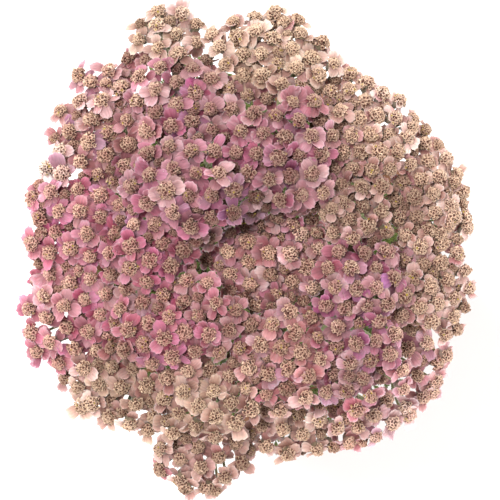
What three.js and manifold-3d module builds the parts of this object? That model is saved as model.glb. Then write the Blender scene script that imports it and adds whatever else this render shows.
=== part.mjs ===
// A potted yarrow: a clump of flowering stems with feathery leaves, rooted in the soil of a plain clay pot.
// Millimetres, +Z up. The origin is the middle of the pot's flat foot.
import * as THREE from "three";
import { mergeVertices } from "three/addons/utils/BufferGeometryUtils.js";
import Module from "manifold-3d";

const wasm = await Module();
wasm.setup();

// Clearance that touching pieces keep from each other, and how flat faces lie that are joined into one.
const GAP = 0.3;
const FLATNESS = 0.002;

// The pot, a tapered clay one with a collar, and the soil that fills it.
const POT = {
  sides: 24,
  footRadius: 41,
  collarFoot: 78,
  collarStep: 3,
  rimRadius: 60,
  height: 105,
  wall: 5.5,
  floor: 7,
  edge: 1.5,
};
const DRAIN = { count: 4, sides: 6, radius: 4.5, ring: 25 };
const SOIL = { level: 91, mound: 4 };

// The canopy of flower heads: a shallow crown, highest near the middle, whose heads lean outwards.
const CANOPY_TOP = 262;
const CROWN_FALL = 0.0035;
const LEAN_PER_MM = 0.006;

// Each flower head is a domed, flat-topped cluster. Its middle is x, y and its half widths are a, b, turned by
// turn degrees. Level is its height against the crown's, spacing is the distance from one small flower to the
// next, and petals is the number of petals that each of them shows.
const HEADS = [
  { name: "knob", x: -24, y: 65.1, a: 9, b: 9, turn: 0, level: -4, spacing: 6.5, petals: 4 },
  { name: "upper_left", x: -19.8, y: 46.2, a: 15.9, b: 12.9, turn: 0, level: 0, spacing: 6.5, petals: 5 },
  { name: "left_upper", x: -43.2, y: 38.7, a: 14.4, b: 16.2, turn: -20, level: -5, spacing: 6.7, petals: 5 },
  { name: "crown_left", x: -18, y: 19.8, a: 18.6, b: 13.5, turn: -8, level: 7, spacing: 6.7, petals: 5 },
  { name: "left_mid", x: -51, y: 10.8, a: 14.7, b: 15, turn: 0, level: -4, spacing: 6.5, petals: 5 },
  { name: "left_low", x: -52.5, y: -18.6, a: 13.5, b: 15.6, turn: 0, level: -6, spacing: 6.6, petals: 5 },
  { name: "inner_left", x: -30.9, y: -3.6, a: 13.5, b: 12.3, turn: 0, level: 0, spacing: 6.4, petals: 5 },
  { name: "lower_left", x: -21, y: -22.8, a: 19.5, b: 14.1, turn: 10, level: 1, spacing: 6.4, petals: 5 },
  { name: "bottom_left", x: -38.1, y: -40.2, a: 15.9, b: 10.2, turn: -28, level: -6, spacing: 6.5, petals: 4 },
  { name: "bottom_mid", x: -12.9, y: -45, a: 15, b: 12, turn: 0, level: -2, spacing: 6.4, petals: 4 },
  { name: "bottom", x: -13.2, y: -61.8, a: 14.1, b: 9.6, turn: 5, level: -8, spacing: 6.5, petals: 4 },
  { name: "top", x: 7.5, y: 56.4, a: 18.6, b: 12.6, turn: -8, level: 0, spacing: 5.9, petals: 4 },
  { name: "crown_top", x: 12.6, y: 31.2, a: 17.1, b: 18.3, turn: 0, level: 6, spacing: 6.5, petals: 5 },
  { name: "right_upper", x: 36, y: 34.8, a: 14.1, b: 17.1, turn: 35, level: 0, spacing: 5.8, petals: 4 },
  { name: "right_rim", x: 53.4, y: 15.3, a: 11.7, b: 18.3, turn: 14, level: -5, spacing: 5.8, petals: 4 },
  { name: "inner_right", x: 34.2, y: 14.4, a: 12, b: 12, turn: 0, level: -1, spacing: 6, petals: 4 },
  { name: "hollow", x: 9, y: -4.2, a: 16.2, b: 13.2, turn: 0, level: -12, spacing: 6.5, petals: 5 },
  { name: "right_mid", x: 34.8, y: -9.9, a: 14.7, b: 13.2, turn: 0, level: 1, spacing: 6.2, petals: 5 },
  { name: "lower_mid", x: 10.2, y: -31.8, a: 16.2, b: 15.6, turn: 0, level: -1, spacing: 6.4, petals: 5 },
  { name: "lower_right", x: 34.8, y: -33.6, a: 13.8, b: 13.8, turn: 0, level: 2, spacing: 6.2, petals: 5 },
  { name: "right_low", x: 55.5, y: -11.4, a: 11.1, b: 14.7, turn: 0, level: -6, spacing: 5.8, petals: 4 },
  { name: "rim_right", x: 49.5, y: -35.1, a: 9.3, b: 12.6, turn: -25, level: -20, spacing: 6.4, petals: 4 },
  { name: "rim_bottom", x: 14.4, y: -53.1, a: 14.7, b: 7.5, turn: 0, level: -18, spacing: 6.4, petals: 4 },
  { name: "rim_corner", x: 35.7, y: -49.5, a: 11.7, b: 7.5, turn: 25, level: -20, spacing: 6.4, petals: 4 },
];

// How the small flowers fill a head.
const FILL = 0.91;
const HEX_SHARE = Math.sqrt(3) / 2;
const GOLDEN_ANGLE = Math.PI * (3 - Math.sqrt(5));
const HEAD_PHASE = 1.7;
const INSET = 0.95;
const SETTLE_STEPS = 60;
const PUSH = 0.35;
const PULL = 0.4;
const DOME_SHARE = 0.3;
const HEIGHT_SPREAD = 1.2;

// A small flower: a raised disc, petals that slope away from its edge, and a tapered cup on a stalk.
const FLOWER = {
  discShare: 0.6,
  discHeight: 1.3,
  petalDroop: 0.3,
  mostReach: 3.6,
  cupDepth: 3.2,
  cupRadius: 0.8,
  stalkRadius: 0.6,
};

// The branching core below a head, ribbed where its branches spread from the top of the stem.
const CORE = { ribs: 5, topShare: 0.54, midShare: 0.25, ripple: 0.3, topDepth: 8, midDepth: 16, hubDepth: 27 };
const STALK_END = { share: 0.32, depth: 9.2 };

const STEM = { sides: 4, footRadius: 1.9, topRadius: 1.5, rootDepth: 12, collar: 3, rings: 3, footShare: 0.6 };

// Leaves grow on the stems of the outer heads, one low and one high on each.
const OUTER_HEAD = 52;
const LEAF = { thick: 1, rib: 1, lift: 0.25, sweep: 0.75, sunk: 1 };
const LOW_LEAF = { at: 0.1, length: 54, width: 8.5, pairs: 5, rise: 72, tip: 22, turn: -14 };
const HIGH_LEAF = { at: 0.48, length: 32, width: 6, pairs: 3, rise: 62, tip: 10, turn: 20 };

// A repeatable draw from 0 to 1 for item number i; each salt is a stream of its own.
function draw(i, salt) {
  const s = Math.sin(i * 12.9898 + salt * 78.233) * 43758.5453;
  return s - Math.floor(s);
}

function point(x, y, z) {
  return new THREE.Vector3(x, y, z);
}

// A point given by its distances along three axes from an origin.
function along(origin, axes, distances) {
  const p = origin.clone();
  axes.forEach((axis, i) => p.addScaledVector(axis, distances[i]));
  return p;
}

// Two axes square to a direction, the first as near as it can be to a wanted one.
function axesSquareTo(direction, wanted) {
  const first = wanted.clone().addScaledVector(direction, -wanted.dot(direction)).normalize();
  return [first, direction.clone().cross(first), direction];
}

// A regular ring of points round an origin, in the plane of the first two axes.
function ring(origin, axes, radius, sides, phase = 0) {
  return Array.from({ length: sides }, (_, i) => {
    const angle = phase + (2 * Math.PI * i) / sides;
    return along(origin, axes, [radius * Math.cos(angle), radius * Math.sin(angle), 0]);
  });
}

// A closed geometry under construction: its points, and its triangles as triples of point numbers.
class Shell {
  points = [];
  faces = [];

  // Adds points and returns their numbers.
  add(points) {
    const first = this.points.length;
    this.points.push(...points);
    return points.map((_, i) => first + i);
  }

  // A flat cap over a ring of point numbers, facing up when the ring runs anticlockwise.
  cap(loop) {
    for (let i = 1; i + 1 < loop.length; i++) this.faces.push([loop[0], loop[i], loop[i + 1]]);
  }

  // A band of triangles from a lower ring to an upper one, both anticlockwise from above, of any two counts.
  band(lower, upper) {
    let i = 0;
    let j = 0;
    while (i < lower.length || j < upper.length) {
      const below = lower[i % lower.length];
      const above = upper[j % upper.length];
      if ((i + 0.5) / lower.length < (j + 0.5) / upper.length || j === upper.length) {
        i += 1;
        this.faces.push([below, lower[i % lower.length], above]);
      } else {
        j += 1;
        this.faces.push([below, upper[j % upper.length], above]);
      }
    }
  }

  solid() {
    const geometry = new THREE.BufferGeometry().setFromPoints(this.points);
    geometry.setIndex(this.faces.flat());
    return solidOf(geometry);
  }
}

// A tube through rings of points, closed by flat caps.
function loft(rings) {
  const shell = new Shell();
  const loops = rings.map((points) => shell.add(points));
  shell.cap([...loops[0]].reverse());
  loops.slice(1).forEach((loop, i) => shell.band(loops[i], loop));
  shell.cap(loops[loops.length - 1]);
  return shell.solid();
}

// A three.js geometry as a solid that can be cut and joined.
function solidOf(geometry) {
  const bare = geometry.clone();
  bare.deleteAttribute("normal");
  bare.deleteAttribute("uv");
  const merged = mergeVertices(bare, 1e-4);
  const mesh = new wasm.Mesh({
    numProp: 3,
    vertProperties: new Float32Array(merged.attributes.position.array),
    triVerts: new Uint32Array(merged.index.array),
  });
  return new wasm.Manifold(mesh);
}

function geometryOf(solid) {
  const mesh = solid.getMesh();
  const geometry = new THREE.BufferGeometry();
  geometry.setAttribute("position", new THREE.BufferAttribute(mesh.vertProperties, 3));
  geometry.setIndex(new THREE.BufferAttribute(mesh.triVerts, 1));
  return geometry;
}

// A head's share of its own ellipse at x, y: 0 in its middle and 1 on its outline.
function shareOf(head, x, y) {
  const turn = THREE.MathUtils.degToRad(head.turn);
  const dx = x - head.x;
  const dy = y - head.y;
  const u = (dx * Math.cos(turn) + dy * Math.sin(turn)) / head.a;
  const v = (dy * Math.cos(turn) - dx * Math.sin(turn)) / head.b;
  return Math.hypot(u, v);
}

// The point of the plan at a share of a head's ellipse, in a direction of that ellipse.
function planPoint(head, share, angle) {
  const turn = THREE.MathUtils.degToRad(head.turn);
  const u = head.a * share * Math.cos(angle);
  const v = head.b * share * Math.sin(angle);
  return [
    head.x + u * Math.cos(turn) - v * Math.sin(turn),
    head.y + u * Math.sin(turn) + v * Math.cos(turn),
  ];
}

// The height of a head's domed, outward leaning surface above x, y.
function surfaceHeight(head, x, y) {
  const reach = Math.hypot(head.x, head.y);
  const top = CANOPY_TOP + head.level - CROWN_FALL * reach * reach;
  const slope = LEAN_PER_MM * reach;
  const outward = ((x - head.x) * head.x + (y - head.y) * head.y) / reach;
  const share = shareOf(head, x, y);
  const dome = (DOME_SHARE * (head.a + head.b)) / 2;
  return top - slope * outward - dome * share * share;
}

// The direction that a head's surface faces above x, y.
function surfaceNormal(head, x, y) {
  const step = 0.5;
  const slopeX = (surfaceHeight(head, x + step, y) - surfaceHeight(head, x - step, y)) / (2 * step);
  const slopeY = (surfaceHeight(head, x, y + step) - surfaceHeight(head, x, y - step)) / (2 * step);
  return point(-slopeX, -slopeY, 1).normalize();
}

// The small flowers' places in plan. Each head starts as a sunflower spiral, and then all of them settle: flowers
// that stand too close push each other away, and those outside their head's outline are drawn back in.
function placeFlowers() {
  const flowers = HEADS.flatMap((head, h) => {
    const cell = HEX_SHARE * head.spacing * head.spacing;
    const count = Math.round((FILL * Math.PI * head.a * head.b) / cell);
    return Array.from({ length: count }, (_, k) => {
      const share = INSET * Math.sqrt((k + 0.5) / count);
      const [x, y] = planPoint(head, share, k * GOLDEN_ANGLE + h * HEAD_PHASE);
      return { head, x, y, pushX: 0, pushY: 0 };
    });
  });
  for (let step = 0; step < SETTLE_STEPS; step++) {
    pushApart(flowers);
    flowers.forEach(drawBack);
  }
  flowers.forEach((flower) => {
    flower.room = roomOf(flower, flowers);
  });
  return flowers;
}

function pushApart(flowers) {
  flowers.forEach((one, i) => {
    for (const other of flowers.slice(i + 1)) {
      const dx = one.x - other.x;
      const dy = one.y - other.y;
      const distance = Math.hypot(dx, dy);
      const wanted = (one.head.spacing + other.head.spacing) / 2;
      if (distance >= wanted) continue;
      const share = (PUSH * (wanted - distance)) / distance;
      one.pushX += dx * share;
      one.pushY += dy * share;
      other.pushX -= dx * share;
      other.pushY -= dy * share;
    }
  });
  for (const flower of flowers) {
    flower.x += flower.pushX;
    flower.y += flower.pushY;
    flower.pushX = 0;
    flower.pushY = 0;
  }
}

function drawBack(flower) {
  const { head } = flower;
  const share = shareOf(head, flower.x, flower.y);
  if (share <= 1) return;
  const keep = 1 + PULL * (1 / share - 1);
  flower.x = head.x + (flower.x - head.x) * keep;
  flower.y = head.y + (flower.y - head.y) * keep;
}

// The radius that a flower has to itself, clear of its nearest neighbour's.
function roomOf(flower, flowers) {
  const own = flower.head.spacing;
  const rooms = flowers
    .filter((other) => other !== flower)
    .map((other) => {
      const distance = Math.hypot(flower.x - other.x, flower.y - other.y);
      return (distance * own) / (own + other.head.spacing);
    });
  return Math.min(FLOWER.mostReach, Math.min(...rooms) - GAP);
}

// A small flower on its stalk. Each petal is a flap from the disc's edge to a tip.
function smallFlower(flower, number) {
  const { head, x, y, room } = flower;
  const lift = HEIGHT_SPREAD * (draw(number, 1) - 0.5);
  const centre = point(x, y, surfaceHeight(head, x, y) + lift);
  const axes = axesSquareTo(surfaceNormal(head, x, y), point(1, 0, 0));
  const spin = 2 * Math.PI * draw(number, 2);
  const step = (2 * Math.PI) / head.petals;

  const shell = new Shell();
  const discCentre = along(centre, axes, [0, 0, FLOWER.discHeight]);
  const disc = shell.add(ring(discCentre, axes, FLOWER.discShare * room, head.petals, spin));
  const tipCentre = along(centre, axes, [0, 0, -FLOWER.petalDroop]);
  const tips = shell.add(ring(tipCentre, axes, room, head.petals, spin + step / 2));
  const cupCentre = along(centre, axes, [0, 0, -FLOWER.cupDepth]);
  const cup = shell.add(ring(cupCentre, axes, FLOWER.cupRadius, 3, spin + Math.PI / 3));
  const foot = shell.add(stalkFoot(head, x, y, axes, spin));

  shell.cap(disc);
  disc.forEach((edge, i) => shell.faces.push([edge, tips[i], disc[(i + 1) % disc.length]]));
  shell.band(cup, disc.flatMap((edge, i) => [edge, tips[i]]));
  shell.band(foot, cup);
  shell.cap([...foot].reverse());
  return shell.solid();
}

// The ring at a stalk's lower end, inside the head's core.
function stalkFoot(head, x, y, axes, spin) {
  const footX = head.x + STALK_END.share * (x - head.x);
  const footY = head.y + STALK_END.share * (y - head.y);
  const foot = point(footX, footY, surfaceHeight(head, footX, footY) - STALK_END.depth);
  return ring(foot, axes, FLOWER.stalkRadius, 3, spin + Math.PI / 3);
}

// The top of a head's stem: where it meets the core, the way it points, and the axes round it.
function hubOf(head) {
  const reach = Math.hypot(head.x, head.y);
  const slope = LEAN_PER_MM * reach;
  const outward = point(head.x / reach, head.y / reach, 0);
  const axis = outward.clone().multiplyScalar(slope).add(point(0, 0, 1)).normalize();
  const top = point(head.x, head.y, surfaceHeight(head, head.x, head.y));
  const centre = top.addScaledVector(axis, -CORE.hubDepth);
  return { centre, axis, outward, axes: axesSquareTo(axis, outward) };
}

function core(head) {
  const hub = hubOf(head);
  const level = (share, depth) =>
    Array.from({ length: 2 * CORE.ribs }, (_, i) => {
      const angle = (Math.PI * i) / CORE.ribs + Math.atan2(hub.outward.y, hub.outward.x);
      const ripple = i % 2 ? 1 - CORE.ripple : 1 + CORE.ripple;
      const [x, y] = planPoint(head, share * ripple, angle - THREE.MathUtils.degToRad(head.turn));
      return point(x, y, surfaceHeight(head, x, y) - depth);
    });
  const hubRing = ring(hub.centre, hub.axes, STEM.topRadius, STEM.sides);
  const crest = point(head.x, head.y, surfaceHeight(head, head.x, head.y) - CORE.topDepth + 1);
  const shell = new Shell();
  const loops = [hubRing, level(CORE.midShare, CORE.midDepth), level(CORE.topShare, CORE.topDepth)].map(
    (points) => shell.add(points),
  );
  const [tip] = shell.add([crest]);
  shell.cap([...loops[0]].reverse());
  shell.band(loops[0], loops[1]);
  shell.band(loops[1], loops[2]);
  loops[2].forEach((corner, i) => shell.faces.push([corner, loops[2][(i + 1) % loops[2].length], tip]));
  return shell.solid();
}

// A flower head: its core and all its small flowers, grown together.
function flowerHead(head, flowers) {
  const own = flowers
    .map((flower, number) => ({ flower, number }))
    .filter(({ flower }) => flower.head === head)
    .map(({ flower, number }) => smallFlower(flower, number));
  return wasm.Manifold.union([core(head), ...own]);
}

// The rings of a stem, from its root in the soil to just below its head.
function stemRings(head) {
  const hub = hubOf(head);
  const foot = point(head.x * STEM.footShare, head.y * STEM.footShare, SOIL.level + STEM.collar);
  const end = along(hub.centre, [hub.axis], [-GAP]);
  const rise = (end.z - foot.z) / 2;
  const curve = new THREE.CubicBezierCurve3(
    foot,
    along(foot, [point(0, 0, 1)], [rise]),
    along(end, [hub.axis], [-rise]),
    end,
  );
  const rings = [stemFoot(head, -STEM.rootDepth, 0)];
  for (let i = 0; i <= STEM.rings; i++) {
    const t = i / STEM.rings;
    const radius = THREE.MathUtils.lerp(STEM.footRadius, STEM.topRadius, t);
    const axes = axesSquareTo(curve.getTangent(t), hub.outward);
    rings.push(ring(curve.getPoint(t), axes, radius, STEM.sides));
  }
  return { curve, rings, hub };
}

// A ring of a stem's upright root, at a height over the soil's level and wider than the stem by a margin.
function stemFoot(head, height, margin) {
  const reach = Math.hypot(head.x, head.y);
  const outward = point(head.x / reach, head.y / reach, 0);
  const centre = point(head.x * STEM.footShare, head.y * STEM.footShare, SOIL.level + height);
  const radius = STEM.footRadius + margin / Math.cos(Math.PI / STEM.sides);
  return ring(centre, axesSquareTo(point(0, 0, 1), outward), radius, STEM.sides);
}

// The places along a leaf's rib, each with the axes that run along it, across it and out of its upper side.
function ribStations(root, outward, size) {
  const up = point(0, 0, 1);
  const side = up.clone().cross(outward);
  const steps = size.pairs + 1;
  const stations = [];
  const place = root.clone();
  for (let i = 0; i <= steps; i++) {
    const angle = THREE.MathUtils.degToRad(THREE.MathUtils.lerp(size.rise, size.tip, i / steps));
    const forward = outward.clone().multiplyScalar(Math.cos(angle)).addScaledVector(up, Math.sin(angle));
    stations.push({ place: place.clone(), axes: [forward, side, forward.clone().cross(side)] });
    place.addScaledVector(forward, size.length / steps);
  }
  return stations;
}

// A feathery leaf: an arched four-sided rib whose two flanks are cut into pairs of pointed leaflets, with one
// more at its end.
function leaf(root, outward, size) {
  const shell = new Shell();
  const stations = ribStations(root, outward, size);
  const sections = stations.map(({ place, axes }) => {
    const corners = [[-1, -1], [1, -1], [1, 1], [-1, 1]];
    return shell.add(
      corners.map(([across, over]) => along(place, axes, [0, (across * LEAF.rib) / 2, (over * LEAF.thick) / 2])),
    );
  });
  // A leaflet is a wedge from four corners of the rib to a tip.
  const leaflet = (corners, station, forward, across) => {
    const raised = LEAF.lift * Math.hypot(forward, across);
    const [tip] = shell.add([along(station.place, station.axes, [forward, across, raised])]);
    corners.forEach((corner, i) => shell.faces.push([corner, corners[(i + 1) % corners.length], tip]));
  };

  shell.cap([...sections[0]].reverse());
  sections.slice(1).forEach((far, i) => {
    const near = sections[i];
    const reach = size.width * Math.sin(Math.PI * (0.25 + (0.6 * i) / size.pairs));
    near.forEach((corner, k) => {
      const next = (k + 1) % near.length;
      const side = [corner, near[next], far[next], far[k]];
      const flank = { 1: reach, 3: -reach }[k];
      if (i > 0 && flank) leaflet(side, stations[i], LEAF.sweep * reach, flank);
      else shell.cap(side);
    });
  });
  leaflet(sections.at(-1), stations.at(-1), LEAF.sweep * size.width, 0);
  return shell.solid();
}

// A stem and the leaves that grow on it.
function leafyStem(head) {
  const { curve, rings, hub } = stemRings(head);
  const parts = [loft(rings)];
  if (Math.hypot(head.x, head.y) > OUTER_HEAD) {
    for (const size of [LOW_LEAF, HIGH_LEAF]) {
      const turn = THREE.MathUtils.degToRad(size.turn);
      const heading = hub.outward.clone().applyAxisAngle(point(0, 0, 1), turn);
      const root = along(curve.getPoint(size.at), [heading], [LEAF.sunk]);
      parts.push(leaf(root, heading, size));
    }
  }
  return wasm.Manifold.union(parts);
}

// A solid of revolution round +Z from a profile of radii and heights that starts and ends on the axis.
function turned(profile) {
  const outline = profile.map(([radius, height]) => new THREE.Vector2(radius, height));
  const geometry = new THREE.LatheGeometry(outline, POT.sides);
  return solidOf(geometry.rotateX(Math.PI / 2));
}

// The radius inside the pot's wall at a height, less a margin.
function insideRadius(height, margin) {
  const outer = THREE.MathUtils.lerp(POT.footRadius, POT.rimRadius - POT.collarStep, height / POT.height);
  return outer - POT.wall - margin;
}

function pot() {
  const { footRadius, collarFoot, collarStep, rimRadius, height, floor, edge } = POT;
  const wallTop = THREE.MathUtils.lerp(footRadius, rimRadius - collarStep, collarFoot / height);
  const body = turned([
    [0, 0],
    [footRadius, 0],
    [wallTop, collarFoot],
    [wallTop + collarStep, collarFoot + edge],
    [rimRadius, height - edge],
    [rimRadius - edge, height],
    [insideRadius(height, 0), height],
    [insideRadius(floor, 0), floor],
    [0, floor],
  ]);
  const drains = Array.from({ length: DRAIN.count }, (_, i) => {
    const angle = ((i + 0.5) * 2 * Math.PI) / DRAIN.count;
    const drain = new THREE.CylinderGeometry(DRAIN.radius, DRAIN.radius, 3 * floor, DRAIN.sides);
    drain.rotateX(Math.PI / 2);
    drain.translate(DRAIN.ring * Math.cos(angle), DRAIN.ring * Math.sin(angle), 0);
    return solidOf(drain);
  });
  return body.subtract(wasm.Manifold.union(drains));
}

function soil() {
  const base = POT.floor + GAP;
  const level = SOIL.level;
  const fill = turned([
    [0, base],
    [insideRadius(base, GAP), base],
    [insideRadius(level - 2, GAP), level - 2],
    [insideRadius(level, GAP) * 0.8, level + SOIL.mound * 0.3],
    [insideRadius(level, GAP) * 0.4, level + SOIL.mound * 0.8],
    [0, level + SOIL.mound],
  ]);
  const holes = HEADS.map((head) =>
    loft([stemFoot(head, -STEM.rootDepth - GAP, GAP), stemFoot(head, 2 * SOIL.mound, GAP)]),
  );
  return fill.subtract(wasm.Manifold.union(holes));
}

const CLAY = new THREE.MeshStandardMaterial({ color: 0xb56a45, roughness: 0.85, metalness: 0 });
const EARTH = new THREE.MeshStandardMaterial({ color: 0x3a2a20, roughness: 0.95, metalness: 0 });
const GREEN = new THREE.MeshStandardMaterial({ color: 0x5d7a3c, roughness: 0.6, metalness: 0 });
const BLOOM = new THREE.MeshStandardMaterial({ color: 0xcf93a6, roughness: 0.7, metalness: 0 });

function piece(name, solid, material) {
  const plain = solid.asOriginal().simplify(FLATNESS);
  const mesh = new THREE.Mesh(geometryOf(plain), material);
  mesh.name = name;
  return mesh;
}

function pottedYarrow() {
  const plant = new THREE.Group();
  const flowers = placeFlowers();
  plant.add(piece("pot", pot(), CLAY), piece("soil", soil(), EARTH));
  for (const head of HEADS) {
    plant.add(piece(`stem_${head.name}`, leafyStem(head), GREEN));
    plant.add(piece(`head_${head.name}`, flowerHead(head, flowers), BLOOM));
  }
  return plant;
}

export default pottedYarrow();
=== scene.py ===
"""Dresses a potted yarrow: fine flower heads, leafy stems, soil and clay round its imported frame."""

import bpy
import numpy as np
from bpy.props import FloatProperty, FloatVectorProperty, IntProperty, PointerProperty
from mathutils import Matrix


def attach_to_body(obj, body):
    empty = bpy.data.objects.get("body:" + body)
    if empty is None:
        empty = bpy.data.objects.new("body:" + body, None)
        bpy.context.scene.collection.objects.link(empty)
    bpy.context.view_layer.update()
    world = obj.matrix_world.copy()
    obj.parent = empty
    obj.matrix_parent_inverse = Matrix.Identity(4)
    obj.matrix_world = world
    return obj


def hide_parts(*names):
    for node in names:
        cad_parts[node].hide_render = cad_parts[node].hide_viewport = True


bl_info = {
    "name": "Potted Yarrow",
    "version": (1, 0, 0),
    "blender": (4, 5, 0),
    "location": "View3D > Sidebar > Yarrow",
    "description": "Builds the flowers, stems, leaves, soil and pot of a yarrow plant round its frame",
    "category": "Object",
}

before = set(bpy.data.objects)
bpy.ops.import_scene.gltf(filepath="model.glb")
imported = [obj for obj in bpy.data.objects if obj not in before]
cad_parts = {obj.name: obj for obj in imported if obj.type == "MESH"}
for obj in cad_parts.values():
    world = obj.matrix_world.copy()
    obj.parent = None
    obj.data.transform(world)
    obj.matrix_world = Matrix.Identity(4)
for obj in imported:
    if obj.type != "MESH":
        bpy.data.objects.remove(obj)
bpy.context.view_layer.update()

# Shapes are worked out in millimetres, as the frame's were, and stored in metres.
MM = 0.001


def keyed(keys, *rows):
    """Rows of values, each as a dictionary with these keys."""
    return [dict(zip(keys, row)) for row in rows]


# The flower heads of the frame. The middle of each is at x, y. Its half widths are a and b, turned by turn
# degrees. Level is its height against the crown's, and spacing the distance between its small flowers.
# Petals is how many a flower has, tint names their colour, reach is how far they spread from its middle,
# and light is how pale the head is painted: partly its own paleness and partly painted light and shade,
# darker for heads deep in the canopy and lighter for the low heads at the rim.
HEAD_KEYS = ("name", "x", "y", "a", "b", "turn", "level", "spacing", "petals", "tint", "reach", "light")
HEADS = keyed(
    HEAD_KEYS,
    ("knob", -24, 65.1, 9, 9, 0, -4, 6.5, 5, "cream", 5.0, 1.04),
    ("upper_left", -19.8, 46.2, 15.9, 12.9, 0, 0, 6.5, 6, "mauve", 4.9, 0.94),
    ("left_upper", -43.2, 38.7, 14.4, 16.2, -20, -5, 6.7, 6, "blush", 5.0, 1.03),
    ("crown_left", -18, 19.8, 18.6, 13.5, -8, 7, 6.7, 6, "mauve", 5.1, 0.90),
    ("left_mid", -51, 10.8, 14.7, 15, 0, -4, 6.5, 6, "pink", 5.0, 1.18),
    ("left_low", -52.5, -18.6, 13.5, 15.6, 0, -6, 6.6, 6, "pink", 5.0, 1.14),
    ("inner_left", -30.9, -3.6, 13.5, 12.3, 0, 0, 6.4, 6, "pink", 4.9, 0.94),
    ("lower_left", -21, -22.8, 19.5, 14.1, 10, 1, 6.4, 6, "pink", 4.9, 0.97),
    ("bottom_left", -38.1, -40.2, 15.9, 10.2, -28, -6, 6.5, 5, "cream", 5.0, 0.98),
    ("bottom_mid", -12.9, -45, 15, 12, 0, -2, 6.4, 5, "cream", 5.0, 0.99),
    ("bottom", -13.2, -61.8, 14.1, 9.6, 5, -8, 6.5, 5, "tan", 4.9, 0.82),
    ("top", 7.5, 56.4, 18.6, 12.6, -8, 0, 5.9, 5, "cream", 4.7, 1.14),
    ("crown_top", 12.6, 31.2, 17.1, 18.3, 0, 6, 6.5, 6, "mauve", 5.0, 0.82),
    ("right_upper", 36, 34.8, 14.1, 17.1, 35, 0, 5.8, 5, "tan", 4.2, 1.25),
    ("right_rim", 53.4, 15.3, 11.7, 18.3, 14, -5, 5.8, 5, "tan", 4.3, 1.14),
    ("inner_right", 34.2, 14.4, 12, 12, 0, -1, 6, 5, "tan", 4.2, 0.78),
    ("hollow", 9, -4.2, 16.2, 13.2, 0, -12, 6.5, 6, "blush", 4.8, 1.22),
    ("right_mid", 34.8, -9.9, 14.7, 13.2, 0, 1, 6.2, 6, "mauve", 4.7, 0.95),
    ("lower_mid", 10.2, -31.8, 16.2, 15.6, 0, -1, 6.4, 6, "blush", 4.7, 0.98),
    ("lower_right", 34.8, -33.6, 13.8, 13.8, 0, 2, 6.2, 6, "mauve", 4.7, 0.88),
    ("right_low", 55.5, -11.4, 11.1, 14.7, 0, -6, 5.8, 5, "tan", 4.2, 1.02),
    ("rim_right", 49.5, -35.1, 9.3, 12.6, -25, -20, 6.4, 5, "blush", 5.0, 1.35),
    ("rim_bottom", 14.4, -53.1, 14.7, 7.5, 0, -18, 6.4, 5, "tan", 4.9, 1.22),
    ("rim_corner", 35.7, -49.5, 11.7, 7.5, 25, -20, 6.4, 5, "blush", 4.9, 1.42),
)


def column(key):
    """One property of all the heads, as an array."""
    return np.array([head[key] for head in HEADS], float)


HEAD_XY = np.stack([column("x"), column("y")], axis=-1)
HEAD_HALF = np.stack([column("a"), column("b")], axis=-1)
HEAD_TURN = np.radians(column("turn"))
HEAD_REACH = np.hypot(*HEAD_XY.T)
HEAD_OUTWARD = HEAD_XY / HEAD_REACH[:, None]

# The frame's rules for its canopy, its small flowers and its stems. Lengths are in millimetres.
CANOPY_TOP = 262
CROWN_FALL = 0.0035
LEAN_PER_MM = 0.006
DOME_SHARE = 0.3
HEIGHT_SPREAD = 1.2
EXTRA_SPREAD = 2.0
FILL = 0.91
HEX_SHARE = np.sqrt(3) / 2
GOLDEN_ANGLE = np.pi * (3 - np.sqrt(5))
HEAD_PHASE = 1.7
INSET = 0.95
SETTLE_STEPS = 60
PUSH = 0.35
PULL = 0.4
HUB_DEPTH = 27
STEM_FOOT_SHARE = 0.6
STEM_FOOT_RADIUS = 1.9
STEM_TOP_RADIUS = 1.5
STEM_ROOT_DEPTH = 12
STEM_COLLAR = 3
SOIL_LEVEL = 91
OUTER_HEAD = 52

# Side flowers fill the gaps between the frame's flowers, a little below them. Spots are tried FILL_STEP
# apart, and a gap is as wide as FILL_GAP times the petals' reach.
FILL_EXTENT = 80
FILL_STEP = 0.8
FILL_FIELD = 0.43
FILL_GAP = 0.81
SIDE_DROP = 1.5
SIDE_DROP_BY_GAP = 1.6
SIDE_BLEND = 2
SIDE_SCALE = 0.85
# Side flowers, deeper among the rest, are painted darker by this factor: painted shade.
SIDE_PAINTED_SHADE = 0.68
# Stray flowers, past the outlines of the heads or in a dip between them: x, y.
STRAY_RISE = 1.5
STRAY_SCALE = 0.95
STRAYS = (
    (-64.8, 2.7), (-65.7, -17.1), (-63.6, -30), (-60.3, 25.2), (-50.7, 53.4), (-26.7, 72.6),
    (-10.5, 65.4), (-4.2, 69), (2.4, 70.5), (8.4, 72), (15.3, 69.9), (30.9, 53.4), (-29.7, -53.7),
    (-18.6, -71.1), (-9.6, -72), (12, -61.2), (-49.5, -46.5), (60.6, -31.5), (56.4, -42.6),
    (49.5, -49.8), (62.1, 21), (62.1, 10.5), (57.9, 5.4), (49.2, 37.2), (66.6, 7.2), (19.5, 9.6),
    (13.5, 8.4), (25.2, 12.9),
)

# How the tints blend from head to head and fade to pale where painted light is strong, as a painted
# highlight, and the power of the brightness that each channel takes, so painted shade turns redder and
# painted light paler.
BLEND = 2.5
FADE = 0.8
SHADE_POWERS = np.array([0.82, 1.12, 1.18])
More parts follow.
